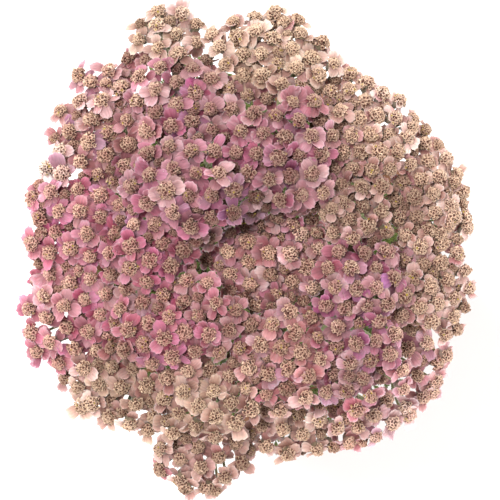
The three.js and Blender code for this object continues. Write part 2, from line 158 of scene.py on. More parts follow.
# Painted light and shade: places where the flowers are painted paler or darker than their heads, as shade
# in the dips between heads and light near the rim: x, y, how far the change reaches, and how much light they
# have.
PAINTED_LIGHT_PATCHES = (
    (2, 14, 7, 0.36), (-5, 8, 5, 0.5), (-15, 1, 5, 0.65), (-9, -5, 5, 1.4), (16, 8, 6, 1.3),
    (23, 3, 5, 1.3), (16, 1, 4, 1.2), (42, 22, 7, 0.75), (50, 15, 6, 0.68), (8, -8, 5, 0.72),
    (17, -11, 6, 1.4), (-3, -16, 5, 0.7), (-6, -23, 4, 0.72), (-30, 10, 5, 1.45), (-53, -5, 6, 1.55),
    (-60, 27, 6, 2.2), (41, 47, 6, 1.5), (-17, 70, 6, 1.5), (-19, 55, 5, 0.65), (9, 26, 5, 0.78),
    (46, -9, 5, 0.75), (-40, 46, 9, 1.35), (-36, -34, 5, 0.6), (49, -26, 6, 1.35), (56, -41, 8, 1.3),
    (44, -50, 8, 1.25), (20, -49, 7, 1.35), (53, 35, 6, 1.15), (66, 8, 7, 1.3), (66, -12, 7, 1.25),
    (62, -25, 6, 1.35), (0, -35, 5, 1.4), (17, -60, 6, 0.65), (-5, -67, 6, 0.78), (-7, -59, 4, 0.85),
    (32, -44, 5, 0.85), (54, -33, 5, 0.7),
)
WAVE_LENGTH = 16
WAVE_BENDS = (1.3, 1.1)
WAVE_DRIFTS = (0.6, 0.7)
WAVE_SHIFT = 1
WAVE_TONE = 0.16
WAVE_HEIGHT = 1.3
# Painted light at the plant's rim: where it starts, how far it grows, and how much lighter the flowers are
# painted there.
RIM_START, RIM_WIDTH, RIM_PAINTED_LIGHT = 52, 14, 0.26

# The frame's leaves: how far up a stem they grow, their length and half width, the angles at which they
# rise and end, their turn round the stem, and their pairs of side ribs.
LEAF_KEYS = ("at", "length", "width", "rise", "tip", "turn", "pairs")
LEAVES = keyed(
    LEAF_KEYS,
    (0.1, 54, 8.5, 76, 40, -14, 17),
    (0.48, 32, 6, 66, 28, 20, 11),
)
# Smaller leaves up every stem, turned a golden angle further from one stem to the next.
SMALL_LEAVES = keyed(
    LEAF_KEYS,
    (0.3, 30, 5.6, 64, 10, 70, 8),
    (0.52, 25, 5.0, 60, 0, 190, 7),
    (0.66, 18, 3.6, 40, -30, 310, 6),
)
LEAF_SUNK = 1
LEAF_SWEEP = 0.75

# How things vary: the salt of each one's stream of draws, its least and its most.
VARIATIONS = dict(
    height=(1, -0.5, 0.5),
    spin=(2, 0, 2 * np.pi),
    tilt_east=(3, -0.3, 0.3),
    tilt_north=(4, -0.3, 0.3),
    flower_scale=(5, 0.9, 1.08),
    flower_light=(6, 0.85, 1.12),
    extra_height=(7, -0.5, 0.5),
    disc_width=(8, 0.88, 1.12),
    disc_height=(9, 0.7, 1.1),
    floret_place=(10, -0.2, 0.2),
    floret_rise=(11, -0.3, 0.25),
    floret_turn=(12, 0, 2 * np.pi),
    floret_scale=(13, 0.84, 1.14),
    ripe_floret=(14, 0, 1),
    ripe_flower=(15, 0, 1),
    floret_warmth=(16, 0.12, 0.55),
    floret_light=(17, 0.85, 1.1),
    floret_tilt_east=(18, -0.42, 0.42),
    floret_tilt_north=(19, -0.42, 0.42),
    ragged_x=(51, -0.22, 0.22),
    ragged_y=(52, -0.22, 0.22),
    ragged_z=(53, -0.22, 0.22),
    floret_mottle=(54, 0.7, 1.12),
    petal_place=(21, -0.38, 0.38),
    petal_reach=(22, 0.86, 1.16),
    petal_width=(23, 0.76, 1.2),
    petal_lift=(24, 0, 1),
    petal_arch=(25, -0.4, 0.9),
    petal_cup=(26, -0.5, 0.8),
    petal_twist=(27, 0, 1),
    petal_untwist=(35, 0, 1),
    petal_drop=(28, -1.9, 0.5),
    petal_fold=(36, -0.8, 0.9),
    petal_curl=(37, -0.3, 0.9),
    petal_shift=(34, 0, 7),
    # Shares petal_drop's draw, so the lower a petal drops, the darker it is painted: painted shade.
    petal_depth_shade=(28, 0.72, 1.12),
    petal_light=(33, 0.88, 1.5),
    lilac_flower=(29, 0, 1),
    lilac_petal=(30, 0, 1),
    pale_flower=(31, 0, 1),
    pale_petal=(32, 0, 1),
    pink_flower=(38, 0, 1),
    pink_petal=(39, 0, 1),
    cup_light=(22, 0.8, 1.15),
    stalk_rank=(23, 0, 5),
    stalk_light=(24, 0.62, 1),
    stem_light=(25, 0.85, 1.1),
    blade_length=(31, 0.88, 1.12),
    blade_rise=(32, 0.1, 0.4),
    leaf_light=(33, 0.8, 1.25),
    crumb_height=(41, -0.45, 0.45),
    crumb_light=(42, 0.7, 1.3),
)

# The rates at which a draw's sine runs through the items and through the salts, and how steep it is.
ITEM_RATE, SALT_RATE, STEEPNESS = 12.9898, 78.233, 43758.5453


def linear(red, green, blue):
    """A screen colour from 0 to 255 as the linear colour that shaders take."""
    share = np.array([red, green, blue]) / 255
    return tuple(np.where(share > 0.04045, ((share + 0.055) / 1.055) ** 2.4, share / 12.92))


def colour_property(name, description, red, green, blue):
    """A colour of the settings, from its screen values."""
    return FloatVectorProperty(
        name=name,
        description=description,
        default=linear(red, green, blue),
        subtype="COLOR",
        size=3,
        min=0,
        max=1,
    )


def length_property(name, description, millimetres):
    """A length of the settings, from its millimetres."""
    return FloatProperty(
        name=name, description=description, default=millimetres * MM, unit="LENGTH", subtype="DISTANCE"
    )


class YarrowColours(bpy.types.PropertyGroup):
    """The colours of the plant and its pot"""

    pink: colour_property("Pink petals", "Petals of the brightest heads", 162, 60, 92)
    mauve: colour_property("Mauve petals", "Petals of the heads near the middle", 145, 53, 92)
    blush: colour_property("Blush petals", "Petals of the paler pink heads", 165, 97, 98)
    tan: colour_property("Tan petals", "Petals of the heads that have browned", 170, 132, 116)
    cream: colour_property("Cream petals", "Petals of the palest heads", 175, 144, 121)
    lilac: colour_property("Lilac petals", "The petals here and there that turn to lilac", 130, 68, 124)
    pale: colour_property("Pale petals", "The petals and petal rims that fade", 194, 160, 154)
    floret: colour_property("Floret lobes", "The curled lobes of the florets in a disc", 239, 208, 178)
    # The throats' dark colour is painted shade: in the floret throats, in the gaps of a disc and on the
    # cups' tops.
    throat: colour_property("Floret throats", "The dark throats and gaps of a disc", 74, 30, 24)
    anther: colour_property("Anthers", "The few florets that show their pollen", 206, 186, 60)
    green: colour_property("Green", "Cups, stalks and stems", 150, 146, 104)
    leaf: colour_property("Leaves", "Feathery leaves", 106, 118, 54)
    clay: colour_property("Clay", "The fired pot", 158, 110, 86)
    soil: colour_property("Soil", "The earth in the pot", 66, 48, 36)


class YarrowSizes(bpy.types.PropertyGroup):
    """The sizes of the small flowers' parts"""

    disc_radius: length_property("Disc radius", "From a small flower's middle to its outer florets", 2.45)
    disc_height: length_property("Disc height", "Height of the dome of florets over the petals", 2.2)
    floret_radius: length_property("Floret radius", "From a floret's middle to the tips of its lobes", 0.8)
    florets: IntProperty(name="Florets", description="Florets in a small flower's disc", default=24, min=5)
    petal_width: length_property("Petal width", "Half the width of a petal", 1.95)
    petal_thickness: length_property("Petal thickness", "Thickness in the middle of a petal", 0.16)
    stalk_radius: length_property("Stalk radius", "Radius of the stalk under a small flower", 0.42)


class YarrowSettings(bpy.types.PropertyGroup):
    """All the settings of the plant"""

    colours: PointerProperty(type=YarrowColours)
    sizes: PointerProperty(type=YarrowSizes)


def paint(name):
    """A colour of the settings, as a linear array."""
    return np.array(getattr(bpy.context.scene.yarrow.colours, name))


def size(name):
    """A length of the settings, in millimetres."""
    return getattr(bpy.context.scene.yarrow.sizes, name) / MM


# Places: the frame's rules again, as arrays over all the small flowers.


def varied(number, name):
    """A repeatable draw in the range of a named variation: the fraction of a steep sine of the item's
    number and the variation's salt."""
    salt, low, high = VARIATIONS[name]
    steep = np.sin(np.asarray(number) * ITEM_RATE + salt * SALT_RATE) * STEEPNESS
    return low + (high - low) * (steep - np.floor(steep))


def unit(vectors):
    """The vectors at length one."""
    return vectors / np.linalg.norm(vectors, axis=-1, keepdims=True)


def head_share(head, xy):
    """A point's distance from its head's middle, as a share of the way to the head's outline."""
    offset = xy - HEAD_XY[head]
    cos, sin = np.cos(HEAD_TURN[head]), np.sin(HEAD_TURN[head])
    u = offset[..., 0] * cos + offset[..., 1] * sin
    v = offset[..., 1] * cos - offset[..., 0] * sin
    return np.hypot(u / HEAD_HALF[head, 0], v / HEAD_HALF[head, 1])


def surface_height(head, xy):
    """The height of a head's surface: a crown that falls with the square of the distance from the plant's
    axis, less an outward slope, less a dome that falls with the square of the share of the way to the
    outline."""
    reach = HEAD_REACH[head]
    top = CANOPY_TOP + column("level")[head] - CROWN_FALL * reach**2
    outward = np.sum((xy - HEAD_XY[head]) * HEAD_OUTWARD[head], axis=-1)
    dome = DOME_SHARE * HEAD_HALF[head].mean(axis=-1)
    return top - LEAN_PER_MM * reach * outward - dome * head_share(head, xy) ** 2


def surface_normal(head, xy):
    """The direction a head's surface faces, from the heights half a millimetre to each side."""
    step = 0.5
    east, north = np.array([step, 0]), np.array([0, step])
    slope_x = (surface_height(head, xy + east) - surface_height(head, xy - east)) / (2 * step)
    slope_y = (surface_height(head, xy + north) - surface_height(head, xy - north)) / (2 * step)
    return unit(np.stack([-slope_x, -slope_y, np.ones_like(slope_x)], axis=-1))


def square_axes(direction, wanted):
    """Three axes for each direction: the wanted one made square to it, the third that suits both, and
    it."""
    first = unit(wanted - direction * np.sum(direction * wanted, axis=-1, keepdims=True))
    return np.stack([first, np.cross(direction, first), direction], axis=-2)


def spiral_places(index):
    """A head's flowers as a sunflower spiral: the square root of the number as the share of the way out,
    and the golden angle from one to the next."""
    a, b = HEAD_HALF[index]
    cell = HEX_SHARE * HEADS[index]["spacing"] ** 2
    count = int(np.floor(FILL * np.pi * a * b / cell + 0.5))
    number = np.arange(count)
    share = INSET * np.sqrt((number + 0.5) / count)
    angle = number * GOLDEN_ANGLE + index * HEAD_PHASE
    u, v = a * share * np.cos(angle), b * share * np.sin(angle)
    cos, sin = np.cos(HEAD_TURN[index]), np.sin(HEAD_TURN[index])
    return HEAD_XY[index] + np.stack([u * cos - v * sin, u * sin + v * cos], axis=-1)


def settle(head, xy):
    """Flowers that stand too close push each other away, and those past their outline are drawn back."""
    spacing = column("spacing")[head]
    wanted = (spacing[:, None] + spacing) / 2
    for _ in range(SETTLE_STEPS):
        offset = xy[:, None] - xy
        distance = np.hypot(offset[..., 0], offset[..., 1])
        np.fill_diagonal(distance, np.inf)
        push = PUSH * np.maximum(wanted - distance, 0) / distance
        xy = xy + np.sum(offset * push[..., None], axis=1)
        share = head_share(head, xy)
        keep = np.where(share > 1, 1 + PULL * (1 / share - 1), 1)
        xy = HEAD_XY[head] + (xy - HEAD_XY[head]) * keep[:, None]
    return xy


def nearness(xy, sharpness=1):
    """How much each head counts at each place: a bell curve of the share of the way to its outline."""
    heads = np.arange(len(HEADS))
    return np.exp(-sharpness * head_share(heads, xy[:, None]) ** 2)


def waves(xy):
    """A smooth field from -1 to 1 that wanders over the plant: a product of two bent sines."""
    x, y = (2 * np.pi / WAVE_LENGTH * xy).T
    across = np.sin(x + WAVE_BENDS[0] * np.sin(WAVE_DRIFTS[0] * y))
    return across * np.sin(y + WAVE_BENDS[1] * np.sin(WAVE_DRIFTS[1] * x + WAVE_SHIFT))


def tones_and_painted_light(xy):
    """How light the flowers are painted at each place: the product of bell curves round the patches of
    painted light and shade, the waves, and painted light that rises towards the plant's rim."""
    x, y, reach, tone_and_painted_light = np.array(PAINTED_LIGHT_PATCHES).T
    square = (xy[:, :1] - x) ** 2 + (xy[:, 1:] - y) ** 2
    patches = np.prod(1 + (tone_and_painted_light - 1) * np.exp(-square / reach**2), axis=1)
    rim = np.clip((np.hypot(*xy.T) - RIM_START) / RIM_WIDTH, 0, 1)
    return patches * (1 + WAVE_TONE * waves(xy)) * (1 + RIM_PAINTED_LIGHT * rim)


def fill_gaps(xy):
    """Places for side flowers in the gaps: always the spot furthest from every flower so far, until no gap
    is left that is wide enough. Spots lie where the heads' bell curves add up to enough."""
    line = np.arange(-FILL_EXTENT, FILL_EXTENT, FILL_STEP)
    spots = np.stack(np.meshgrid(line, line), axis=-1).reshape(-1, 2)
    spots = spots[nearness(spots).sum(axis=1) > FILL_FIELD]
    weight = nearness(spots, BLEND)
    wanted = FILL_GAP * (weight @ column("reach")) / weight.sum(axis=1)
    clear = np.min(np.linalg.norm(spots[:, None] - xy, axis=-1), axis=1)
    found, gap = [], []
    while np.any(clear > wanted):
        best = np.argmax(clear - wanted)
        found.append(spots[best])
        gap.append(clear[best] - wanted[best])
        clear = np.minimum(clear, np.linalg.norm(spots - spots[best], axis=1))
    return np.array(found), np.array(gap)


def place_flowers():
    """All the small flowers: their head, middle, axes with the disc's direction last, spin and scale. The
    frame's come first, then those that stray past the outline of their heads, then the side flowers in the
    gaps."""
    places = [spiral_places(index) for index in range(len(HEADS))]
    head = np.repeat(np.arange(len(HEADS)), [len(p) for p in places])
    xy = settle(head, np.concatenate(places))
    stray_xy = np.array(STRAYS, float)
    side_xy, gap = fill_gaps(np.concatenate([xy, stray_xy]))
    own = np.argmax(nearness(np.concatenate([stray_xy, side_xy])), axis=1)
    height = surface_height(head, xy)
    stray_height = surface_height(own[: len(stray_xy)], stray_xy) + STRAY_RISE
    weight = nearness(side_xy, SIDE_BLEND)
    levels = surface_height(np.arange(len(HEADS)), side_xy[:, None])
    side_height = np.sum(levels * weight, axis=1) / np.sum(weight, axis=1)
    side_height = side_height - SIDE_DROP - SIDE_DROP_BY_GAP * gap

    kinds = (len(xy), len(stray_xy), len(side_xy))
    xy = np.concatenate([xy, stray_xy, side_xy])
    head = np.concatenate([head, own])
    number = np.arange(len(xy))
    height = np.concatenate([height, stray_height, side_height]) + HEIGHT_SPREAD * varied(number, "height")
    height = height + EXTRA_SPREAD * varied(number, "extra_height") + WAVE_HEIGHT * waves(xy)
    sway = np.stack([varied(number, "tilt_east"), varied(number, "tilt_north"), 0 * number], axis=-1)
    normal = unit(surface_normal(head, xy) + sway)
    return {
        "head": head,
        "number": number,
        "middle": np.column_stack([xy, height]),
        "axes": square_axes(normal, np.array([1.0, 0, 0])),
        "spin": varied(number, "spin"),
        "scale": np.repeat([1, STRAY_SCALE, SIDE_SCALE], kinds) * varied(number, "flower_scale"),
        "nearness": nearness(xy, BLEND),
        # Each flower's tone with its painted light and shade: its place's patches, waves and rim, and the
        # side flowers' painted shade.
        "tone_and_painted_light": tones_and_painted_light(xy) * np.repeat([1, 1, SIDE_PAINTED_SHADE], kinds),
    }


FLOWERS = place_flowers()


def flowers_of(index):
    """A head's small flowers: which they are, and their numbers, middles, axes, spins and scales."""
    own = FLOWERS["head"] == index
    return own, *(FLOWERS[key][own] for key in ("number", "middle", "axes", "spin", "scale"))


def stem_hub(index):
    """The top of a head's stem: where it ends, and the way it points."""
    slope = LEAN_PER_MM * HEAD_REACH[index]
    axis = unit(np.append(HEAD_OUTWARD[index] * slope, 1.0))
    top = np.append(HEAD_XY[index], surface_height(index, HEAD_XY[index]))
    return top - HUB_DEPTH * axis, axis


# Surfaces: grids, tubes, turned profiles, and copies of one shape.


def wrapped_band(rows, columns):
    """Quads between rows of points that each close on themselves; they face outwards where a row runs
    anticlockwise as seen from the next."""
    ring = np.arange(columns)
    row = np.arange(rows - 1)[:, None] * columns
    near, far = row + ring, row + (ring + 1) % columns
    return np.stack([near, far, far + columns, near + columns], axis=-1).reshape(-1, 4)


def tube_faces(rows, sides):
    """The faces of a tube of rings: the band between them, and the polygon that closes each end."""
    ring = np.arange(sides)
    return [wrapped_band(rows, sides), ring[::-1][None], (ring + (rows - 1) * sides)[None]]


def end_fan(ring, apex, upper):
    """Triangles from a closed row of points to one apex, over its upper or lower end."""
    after = np.roll(ring, -1)
    middle = np.full_like(ring, apex)
    order = [ring, after, middle] if upper else [after, ring, middle]
    return np.stack(order, axis=-1)


def pillow_faces(rows, columns):
    """A grid's faces above and, turned over, below. The two share the grid's edge, so the shape is closed.
    Also gives which points of the grid the lower side repeats."""
    upper = np.arange(rows * columns).reshape(rows, columns)
    lower = upper.copy()
    inside = upper[1:-1, 1:-1].copy()
    lower[1:-1, 1:-1] = rows * columns + np.arange(inside.size).reshape(inside.shape)

    def quads(grid):
        corners = [grid[:-1, :-1], grid[1:, :-1], grid[1:, 1:], grid[:-1, 1:]]
        return np.stack(corners, axis=-1).reshape(-1, 4)

    return np.concatenate([quads(upper), quads(lower)[:, ::-1]]), inside.ravel()


def repeated(groups, copies, points_each):
    """The faces of one shape, in their groups, for that many copies of its points."""
    shift = np.arange(copies)[:, None, None] * points_each
    return [(faces + shift).reshape(-1, faces.shape[1]) for faces in groups]


def joined(parts):
    """Several shapes, each with its points and its groups of faces, as one."""
    all_points, all_faces, count = [], [], 0
    for points, groups in parts:
        all_points.append(points)
        all_faces.extend(faces + count for faces in groups)
        count += len(points)
    return np.concatenate(all_points), all_faces


def stamped(local, axes, origin):
    """Local points of each copy, along its own three axes from its own origin."""
    return np.einsum("...pk,...kx->...px", local, axes) + origin[..., None, :]


def circle(count):
    """Points at equal steps round a circle of radius one."""
    angle = 2 * np.pi * np.arange(count) / count
    return np.stack([np.cos(angle), np.sin(angle)], axis=-1)


def tube_rings(path, radius, sides, first_across, ripple=1.0):
    """Rings round a path, in the plane square to it: at each place the radius, times a ripple round the
    ring. Paths may be stacked in leading axes."""
    along = np.gradient(path, axis=-2)
    axes = square_axes(unit(along), np.broadcast_to(first_across[..., None, :], along.shape))
    offset = np.einsum("sk,...rkx->...rsx", circle(sides) * ripple, axes[..., :2, :])
    return path[..., None, :] + offset * radius[..., None, None]


def bezier(start, start_pull, end_pull, end, steps):
    """A cubic curve through four stacked control points."""
    t = np.linspace(0, 1, steps)[:, None]
    first, second = start[..., None, :], start_pull[..., None, :]
    third, last = end_pull[..., None, :], end[..., None, :]
    return first * (1 - t) ** 3 + 3 * second * t * (1 - t) ** 2 + 3 * third * t**2 * (1 - t) + last * t**3


def turned(profile, sides):
    """A profile of radii and heights turned round the Z axis: rings for all but its ends on the axis."""
    rings = profile[1:-1]
    heights = np.broadcast_to(rings[:, None, 1:], (len(rings), sides, 1))
    around = np.concatenate([rings[:, None, :1] * circle(sides), heights], axis=-1)
    ends = np.array([[0, 0, profile[0, 1]], [0, 0, profile[-1, 1]]])
    points = np.concatenate([around.reshape(-1, 3), ends])
    first, last = len(points) - 2, len(points) - 1
    ring = np.arange(sides)
    faces = [
        wrapped_band(len(rings), sides),
        end_fan(ring, first, upper=False),
        end_fan(ring + (len(rings) - 1) * sides, last, upper=True),
    ]
    return points, faces


def new_piece(name, points, faces, material, tint=None, uv=None):
    """A closed mesh object from points in millimetres and faces, with the colours and flat map given."""
    mesh = bpy.data.meshes.new(name)
    mesh.vertices.add(len(points))
    mesh.vertices.foreach_set("co", (points * MM).astype(np.float32).ravel())
    corners = np.concatenate([group.ravel() for group in faces]).astype(np.int32)
    counts = np.concatenate([np.full(len(group), group.shape[1]) for group in faces])
    mesh.loops.add(len(corners))
    mesh.loops.foreach_set("vertex_index", corners)
    mesh.polygons.add(len(counts))
    mesh.polygons.foreach_set("loop_start", (np.cumsum(counts) - counts).astype(np.int32))
    mesh.update(calc_edges=True)
    mesh.polygons.foreach_set("use_smooth", np.ones(len(counts), bool))
    if tint is not None:
        layer = mesh.color_attributes.new(name="tint", type="FLOAT_COLOR", domain="POINT")
        opaque = np.column_stack([tint, np.ones(len(tint))])
        layer.data.foreach_set("color", opaque.astype(np.float32).ravel())
    if uv is not None:
        layer = mesh.uv_layers.new(name="flat")
        layer.uv.foreach_set("vector", uv[corners].astype(np.float32).ravel())
    mesh.materials.append(material)
    piece = bpy.data.objects.new(name, mesh)
    bpy.context.scene.collection.objects.link(piece)
    return piece


def head_piece(index, kind, slot, node, points, faces, material, **maps):
    """A piece of one head's plant, in place of the frame's head or stem there."""
    name = HEADS[index]["name"]
    piece = new_piece(f"{kind}_{name}", points, faces, material, **maps)
    attach(piece, slot, f"{node}_{name}")
    return piece


def attach(piece, slot, *nodes):
    """Fixes a piece to the plant's one body, in place of the frame's nodes that it stands for."""
    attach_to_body(piece, "root")
    if nodes:
        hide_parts(*nodes)


# Materials.

RANGE_SOCKETS = ("From Min", "From Max", "To Min", "To Max")


def set_range(node, start, end, low, high):
    """Has a Map Range node take start to end into low to high."""
    for socket, number in zip(RANGE_SOCKETS, (start, end, low, high)):
        node.inputs[socket].default_value = number


class Nodes:
    """A material's node tree, with its links made by name."""

    def __init__(self, name, roughness, specular=0.25):
        self.material = bpy.data.materials.new(name)
        self.material.use_nodes = True
        self.tree = self.material.node_tree
        self.shader = self.tree.nodes["Principled BSDF"]
        self.finish(Roughness=roughness, Specular_IOR_Level=specular)

    def finish(self, **inputs):
        """Sets the shader's own sockets."""
        for key, value in inputs.items():
            self.feed(self.shader, key.replace("_", " "), value)

    def add(self, kind, settings=None, **inputs):
        """A new node, with its settings and with what its sockets take."""
        node = self.tree.nodes.new(kind)
        for key, value in (settings or {}).items():
            setattr(node, key, value)
        for key, value in inputs.items():
            self.feed(node, key, value)
        return node

    def feed(self, node, socket, value):
        """Links a socket to another node's, or sets its value."""
        if isinstance(value, bpy.types.NodeSocket):
            self.tree.links.new(value, node.inputs[socket])
        else:
            node.inputs[socket].default_value = value

    def tint(self):
        """The piece's own colours, point by point."""
        return self.add("ShaderNodeAttribute", {"attribute_name": "tint"}).outputs["Color"]

    def place(self):
        """Coordinates on the object."""
        return self.add("ShaderNodeTexCoord").outputs["Object"]

    def stretched(self, vector, scale):
        """Coordinates times a scale along each axis."""
        node = self.add("ShaderNodeMapping", Vector=vector, Scale=scale)
        return node.outputs["Vector"]

    def noise(self, scale, detail=3.0, vector=None):
        """Noise of a scale in repeats per metre of the object, or of the coordinates where they are
        given."""
        vector = self.place() if vector is None else vector
        return self.add("ShaderNodeTexNoise", Scale=scale, Detail=detail, Vector=vector).outputs["Fac"]

    def ranged(self, value, low, high, start=0.3, end=0.7):
        """A value between start and end, taken to low and high."""
        node = self.add("ShaderNodeMapRange", Value=value)
        set_range(node, start, end, low, high)
        return node.outputs["Result"]

    def scaled(self, colour, value):
        """A colour times a value."""
        node = self.add("ShaderNodeVectorMath", {"operation": "SCALE"}, Scale=value)
        self.feed(node, 0, colour)
        return node.outputs["Vector"]

    def mixed(self, share, first, second):
        """A colour that goes from the first to the second with the share."""
        node = self.add("ShaderNodeMix", {"data_type": "RGBA"})
        for socket, value in ((0, share), (6, first), (7, second)):
            self.feed(node, socket, value)
        return node.outputs[2]

    def bump(self, height, strength, distance):
        """Fine relief, its distance in millimetres."""
        node = self.add("ShaderNodeBump", Height=height, Strength=strength, Distance=distance * MM)
        self.finish(Normal=node.outputs["Normal"])

    def coloured(self, value):
        """The finished material, of this colour."""
        self.finish(Base_Color=value)
        return self.material


# The lime on the pot and the pale grains in the earth, as linear colours.
LIME = (0.62, 0.5, 0.42, 1)
GRAIN = (0.32, 0.26, 0.2, 1)


def petal_material():
    """Soft petals: veins that run from base to tip, and faint mottling."""
    nodes = Nodes("petal", roughness=0.5, specular=0.5)
    flat = nodes.add("ShaderNodeUVMap", {"uv_map": "flat"}).outputs["UV"]
    veins = nodes.noise(scale=1.0, detail=2.0, vector=nodes.stretched(flat, (9, 1.2, 1)))
    mottle = nodes.noise(scale=450.0)
    colour = nodes.scaled(nodes.tint(), nodes.ranged(veins, low=0.8, high=1.14))
    colour = nodes.scaled(colour, nodes.ranged(mottle, low=0.86, high=1.12))
    nodes.bump(veins, strength=0.35, distance=0.15)
    nodes.finish(Sheen_Weight=0.06, Subsurface_Weight=0.5, Subsurface_Scale=0.4 * MM)
    nodes.finish(Subsurface_Radius=(1.0, 0.7, 0.8))
    return nodes.coloured(colour)


def mottled_material(name, roughness, scale, low, high, strength, distance, sheen=0.0, stretch=None):
    """The piece's own colours, taken from low to high by a noise that is also its fine relief."""
    nodes = Nodes(name, roughness)
    place = nodes.stretched(nodes.place(), stretch) if stretch else nodes.place()
    mottle = nodes.noise(scale, vector=place)
    nodes.bump(mottle, strength, distance)
    nodes.finish(Sheen_Weight=sheen)
    return nodes.coloured(nodes.scaled(nodes.tint(), nodes.ranged(mottle, low, high)))


def floret_material():
    """Small florets: papery lobes, mottled."""
    looks = {"roughness": 0.75, "scale": 2500.0, "low": 0.82, "high": 1.12, "strength": 0.3, "distance": 0.1}
    return mottled_material("floret", **looks)


def green_material():
    """Cups, stalks and stems: ribbed green with paler streaks and a fine down."""
    looks = {"roughness": 0.6, "scale": 1400.0, "low": 0.78, "high": 1.2, "strength": 0.4, "distance": 0.2}
    return mottled_material("green stem", **looks, sheen=0.2, stretch=(1, 1, 0.12))


def leaf_material():
    """Feathery leaves: mottled green with a fine down."""
    looks = {"roughness": 0.55, "scale": 700.0, "low": 0.75, "high": 1.2, "strength": 0.3, "distance": 0.2}
    return mottled_material("leaf", **looks, sheen=0.2)


def clay_material():
    """Fired clay: blotches, fine grit, and a pale bloom of lime."""
    nodes = Nodes("clay", roughness=0.85)
    blotch = nodes.noise(scale=45.0, detail=4.0)
    grit = nodes.noise(scale=2200.0, detail=2.0)
    bloom = nodes.noise(scale=28.0, detail=6.0)
    colour = nodes.scaled(paint("clay"), nodes.ranged(blotch, low=0.84, high=1.12))
    colour = nodes.scaled(colour, nodes.ranged(grit, low=0.9, high=1.08))
    covered = nodes.ranged(bloom, low=0.0, high=0.45, start=0.55, end=0.75)
    nodes.bump(grit, strength=0.5, distance=0.3)
    return nodes.coloured(nodes.mixed(covered, colour, LIME))


def soil_material():
    """Moist earth: dark crumbs with a few pale grains."""
    nodes = Nodes("soil", roughness=0.95)
    crumb = nodes.noise(scale=500.0, detail=5.0)
    grains = nodes.noise(scale=1800.0, detail=1.0)
    colour = nodes.scaled(nodes.tint(), nodes.ranged(crumb, low=0.5, high=1.5))
    sandy = nodes.ranged(grains, low=0.0, high=0.7, start=0.68, end=0.74)
    nodes.bump(crumb, strength=0.9, distance=1.5)
    return nodes.coloured(nodes.mixed(sandy, colour, GRAIN))


# Small flowers. A floret's rings are given as radius, height and lightness: the tips of its lobes, the
# notches between them, and the throat. The lightness is painted light and shade, lightest on the lobes' tips
# and darkest in the throat.

LIP_POINTS = 10
LOBE = (1.0, 0.12, 1.12)
NOTCH = (0.66, 0.05, 0.96)
THROAT = (0.47, -0.32, 0.1)
FOOT_LEVEL = -1.6
HOLLOW_LEVEL = -0.7
ACROSS_RISE = 0.1
DISC_LEAN = 1.25
DISC_PAINTED_LIGHT_CAP = 1.3
WARM_GAIN = 1.5
RIPE_FLORETS = 0.08
RIPE_FLOWERS = 0.5
RIPE_RISE = 0.5

# The petals' grid, outline and relief, how far their colour turns, and the painted shade at their bases.
MOST_PETALS = 8
PETAL_ROWS = np.array([0, 0.38, 0.74, 1.0])
PETAL_COLUMNS = np.linspace(-1, 1, 7)
PETAL_ROOT = 1.2
TEETH_DEPTH = 0.1
TEETH_WAVE = 1.5 * np.pi
SHOULDER, SHOULDER_POWER = 0.34, 2.6
BASE_BREADTH = 0.4
FULL_BREADTH_AT = 0.65
USUAL_REACH = 5
PETAL_SINK, PETAL_LIFT = -0.5, 1.1
PETAL_TWIST = 0.9
PETAL_PLEAT = 0.09
PETAL_CREASE = np.radians(55)
TURN_TO_PINK = 0.8
TURN_TO_LILAC = 0.9
PALE_FLOWERS = 0.6
PALE_PETALS = 0.22
BASE_PAINTED_LIGHT = 0.26
RIM_FADE = 0.14

# The cup under a small flower as radii and heights, and its stalk. The cups are painted dark, as painted
# shade under the flowers.
CUP_PROFILE = np.array(
    [[0, -4.4], [0.55, -4.2], [1.25, -3.3], [1.6, -1.8], [1.7, -0.4], [1.45, 0.4], [0, 0.8]]
)
CUP_SIDES = 8
CUP_RIM = -0.2
CUP_PAINTED_SHADE = 0.24
CUP_FOOT = 4
STALK_RINGS = 7
STALK_SIDES = 5
STALK_FOOT_RADIUS = 0.62
STALK_SPREAD = np.array([0.22, 0.22, 0])
STALK_ENDS_APART = 0.12
STALK_PULL_UP = 6
STALK_PULL_DOWN = 7


def flower_tints(own):
    """The mean of the heads' tints at each flower, by how near the heads are. It fades to pale where painted
    light is strong, as a painted highlight, and is then shaded by the flower's own lightness and by the
    painted light and shade of its place and of its heads."""
    weight = FLOWERS["nearness"][own]
    tone_and_painted_light = FLOWERS["tone_and_painted_light"][own]
    tint = weight @ np.array([paint(head["tint"]) for head in HEADS]) / weight.sum(axis=1, keepdims=True)
    tint = mixed_colour(tint, paint("pale"), np.clip(FADE * (tone_and_painted_light - 1), 0, 1))
    # The flower's own lightness, times the painted light and shade of its place and of its heads.
    light = varied(FLOWERS["number"][own], "flower_light") * tone_and_painted_light * head_mean(own, column("light"))
    return shaded(tint, light)


def head_mean(own, values):
    """The mean of a value of the heads at each flower, by how near the heads are."""
    weight = FLOWERS["nearness"][own]
    return weight @ np.array(values, float) / weight.sum(axis=1)


def mixed_colour(first, second, share):
    """A colour that goes from the first to the second with the share."""
    return first + (second - first) * share[..., None]


def shaded(tint, brightness):
    """A tint darker and redder, or lighter and paler: each channel times its power of the brightness."""
    return tint * brightness[..., None] ** SHADE_POWERS


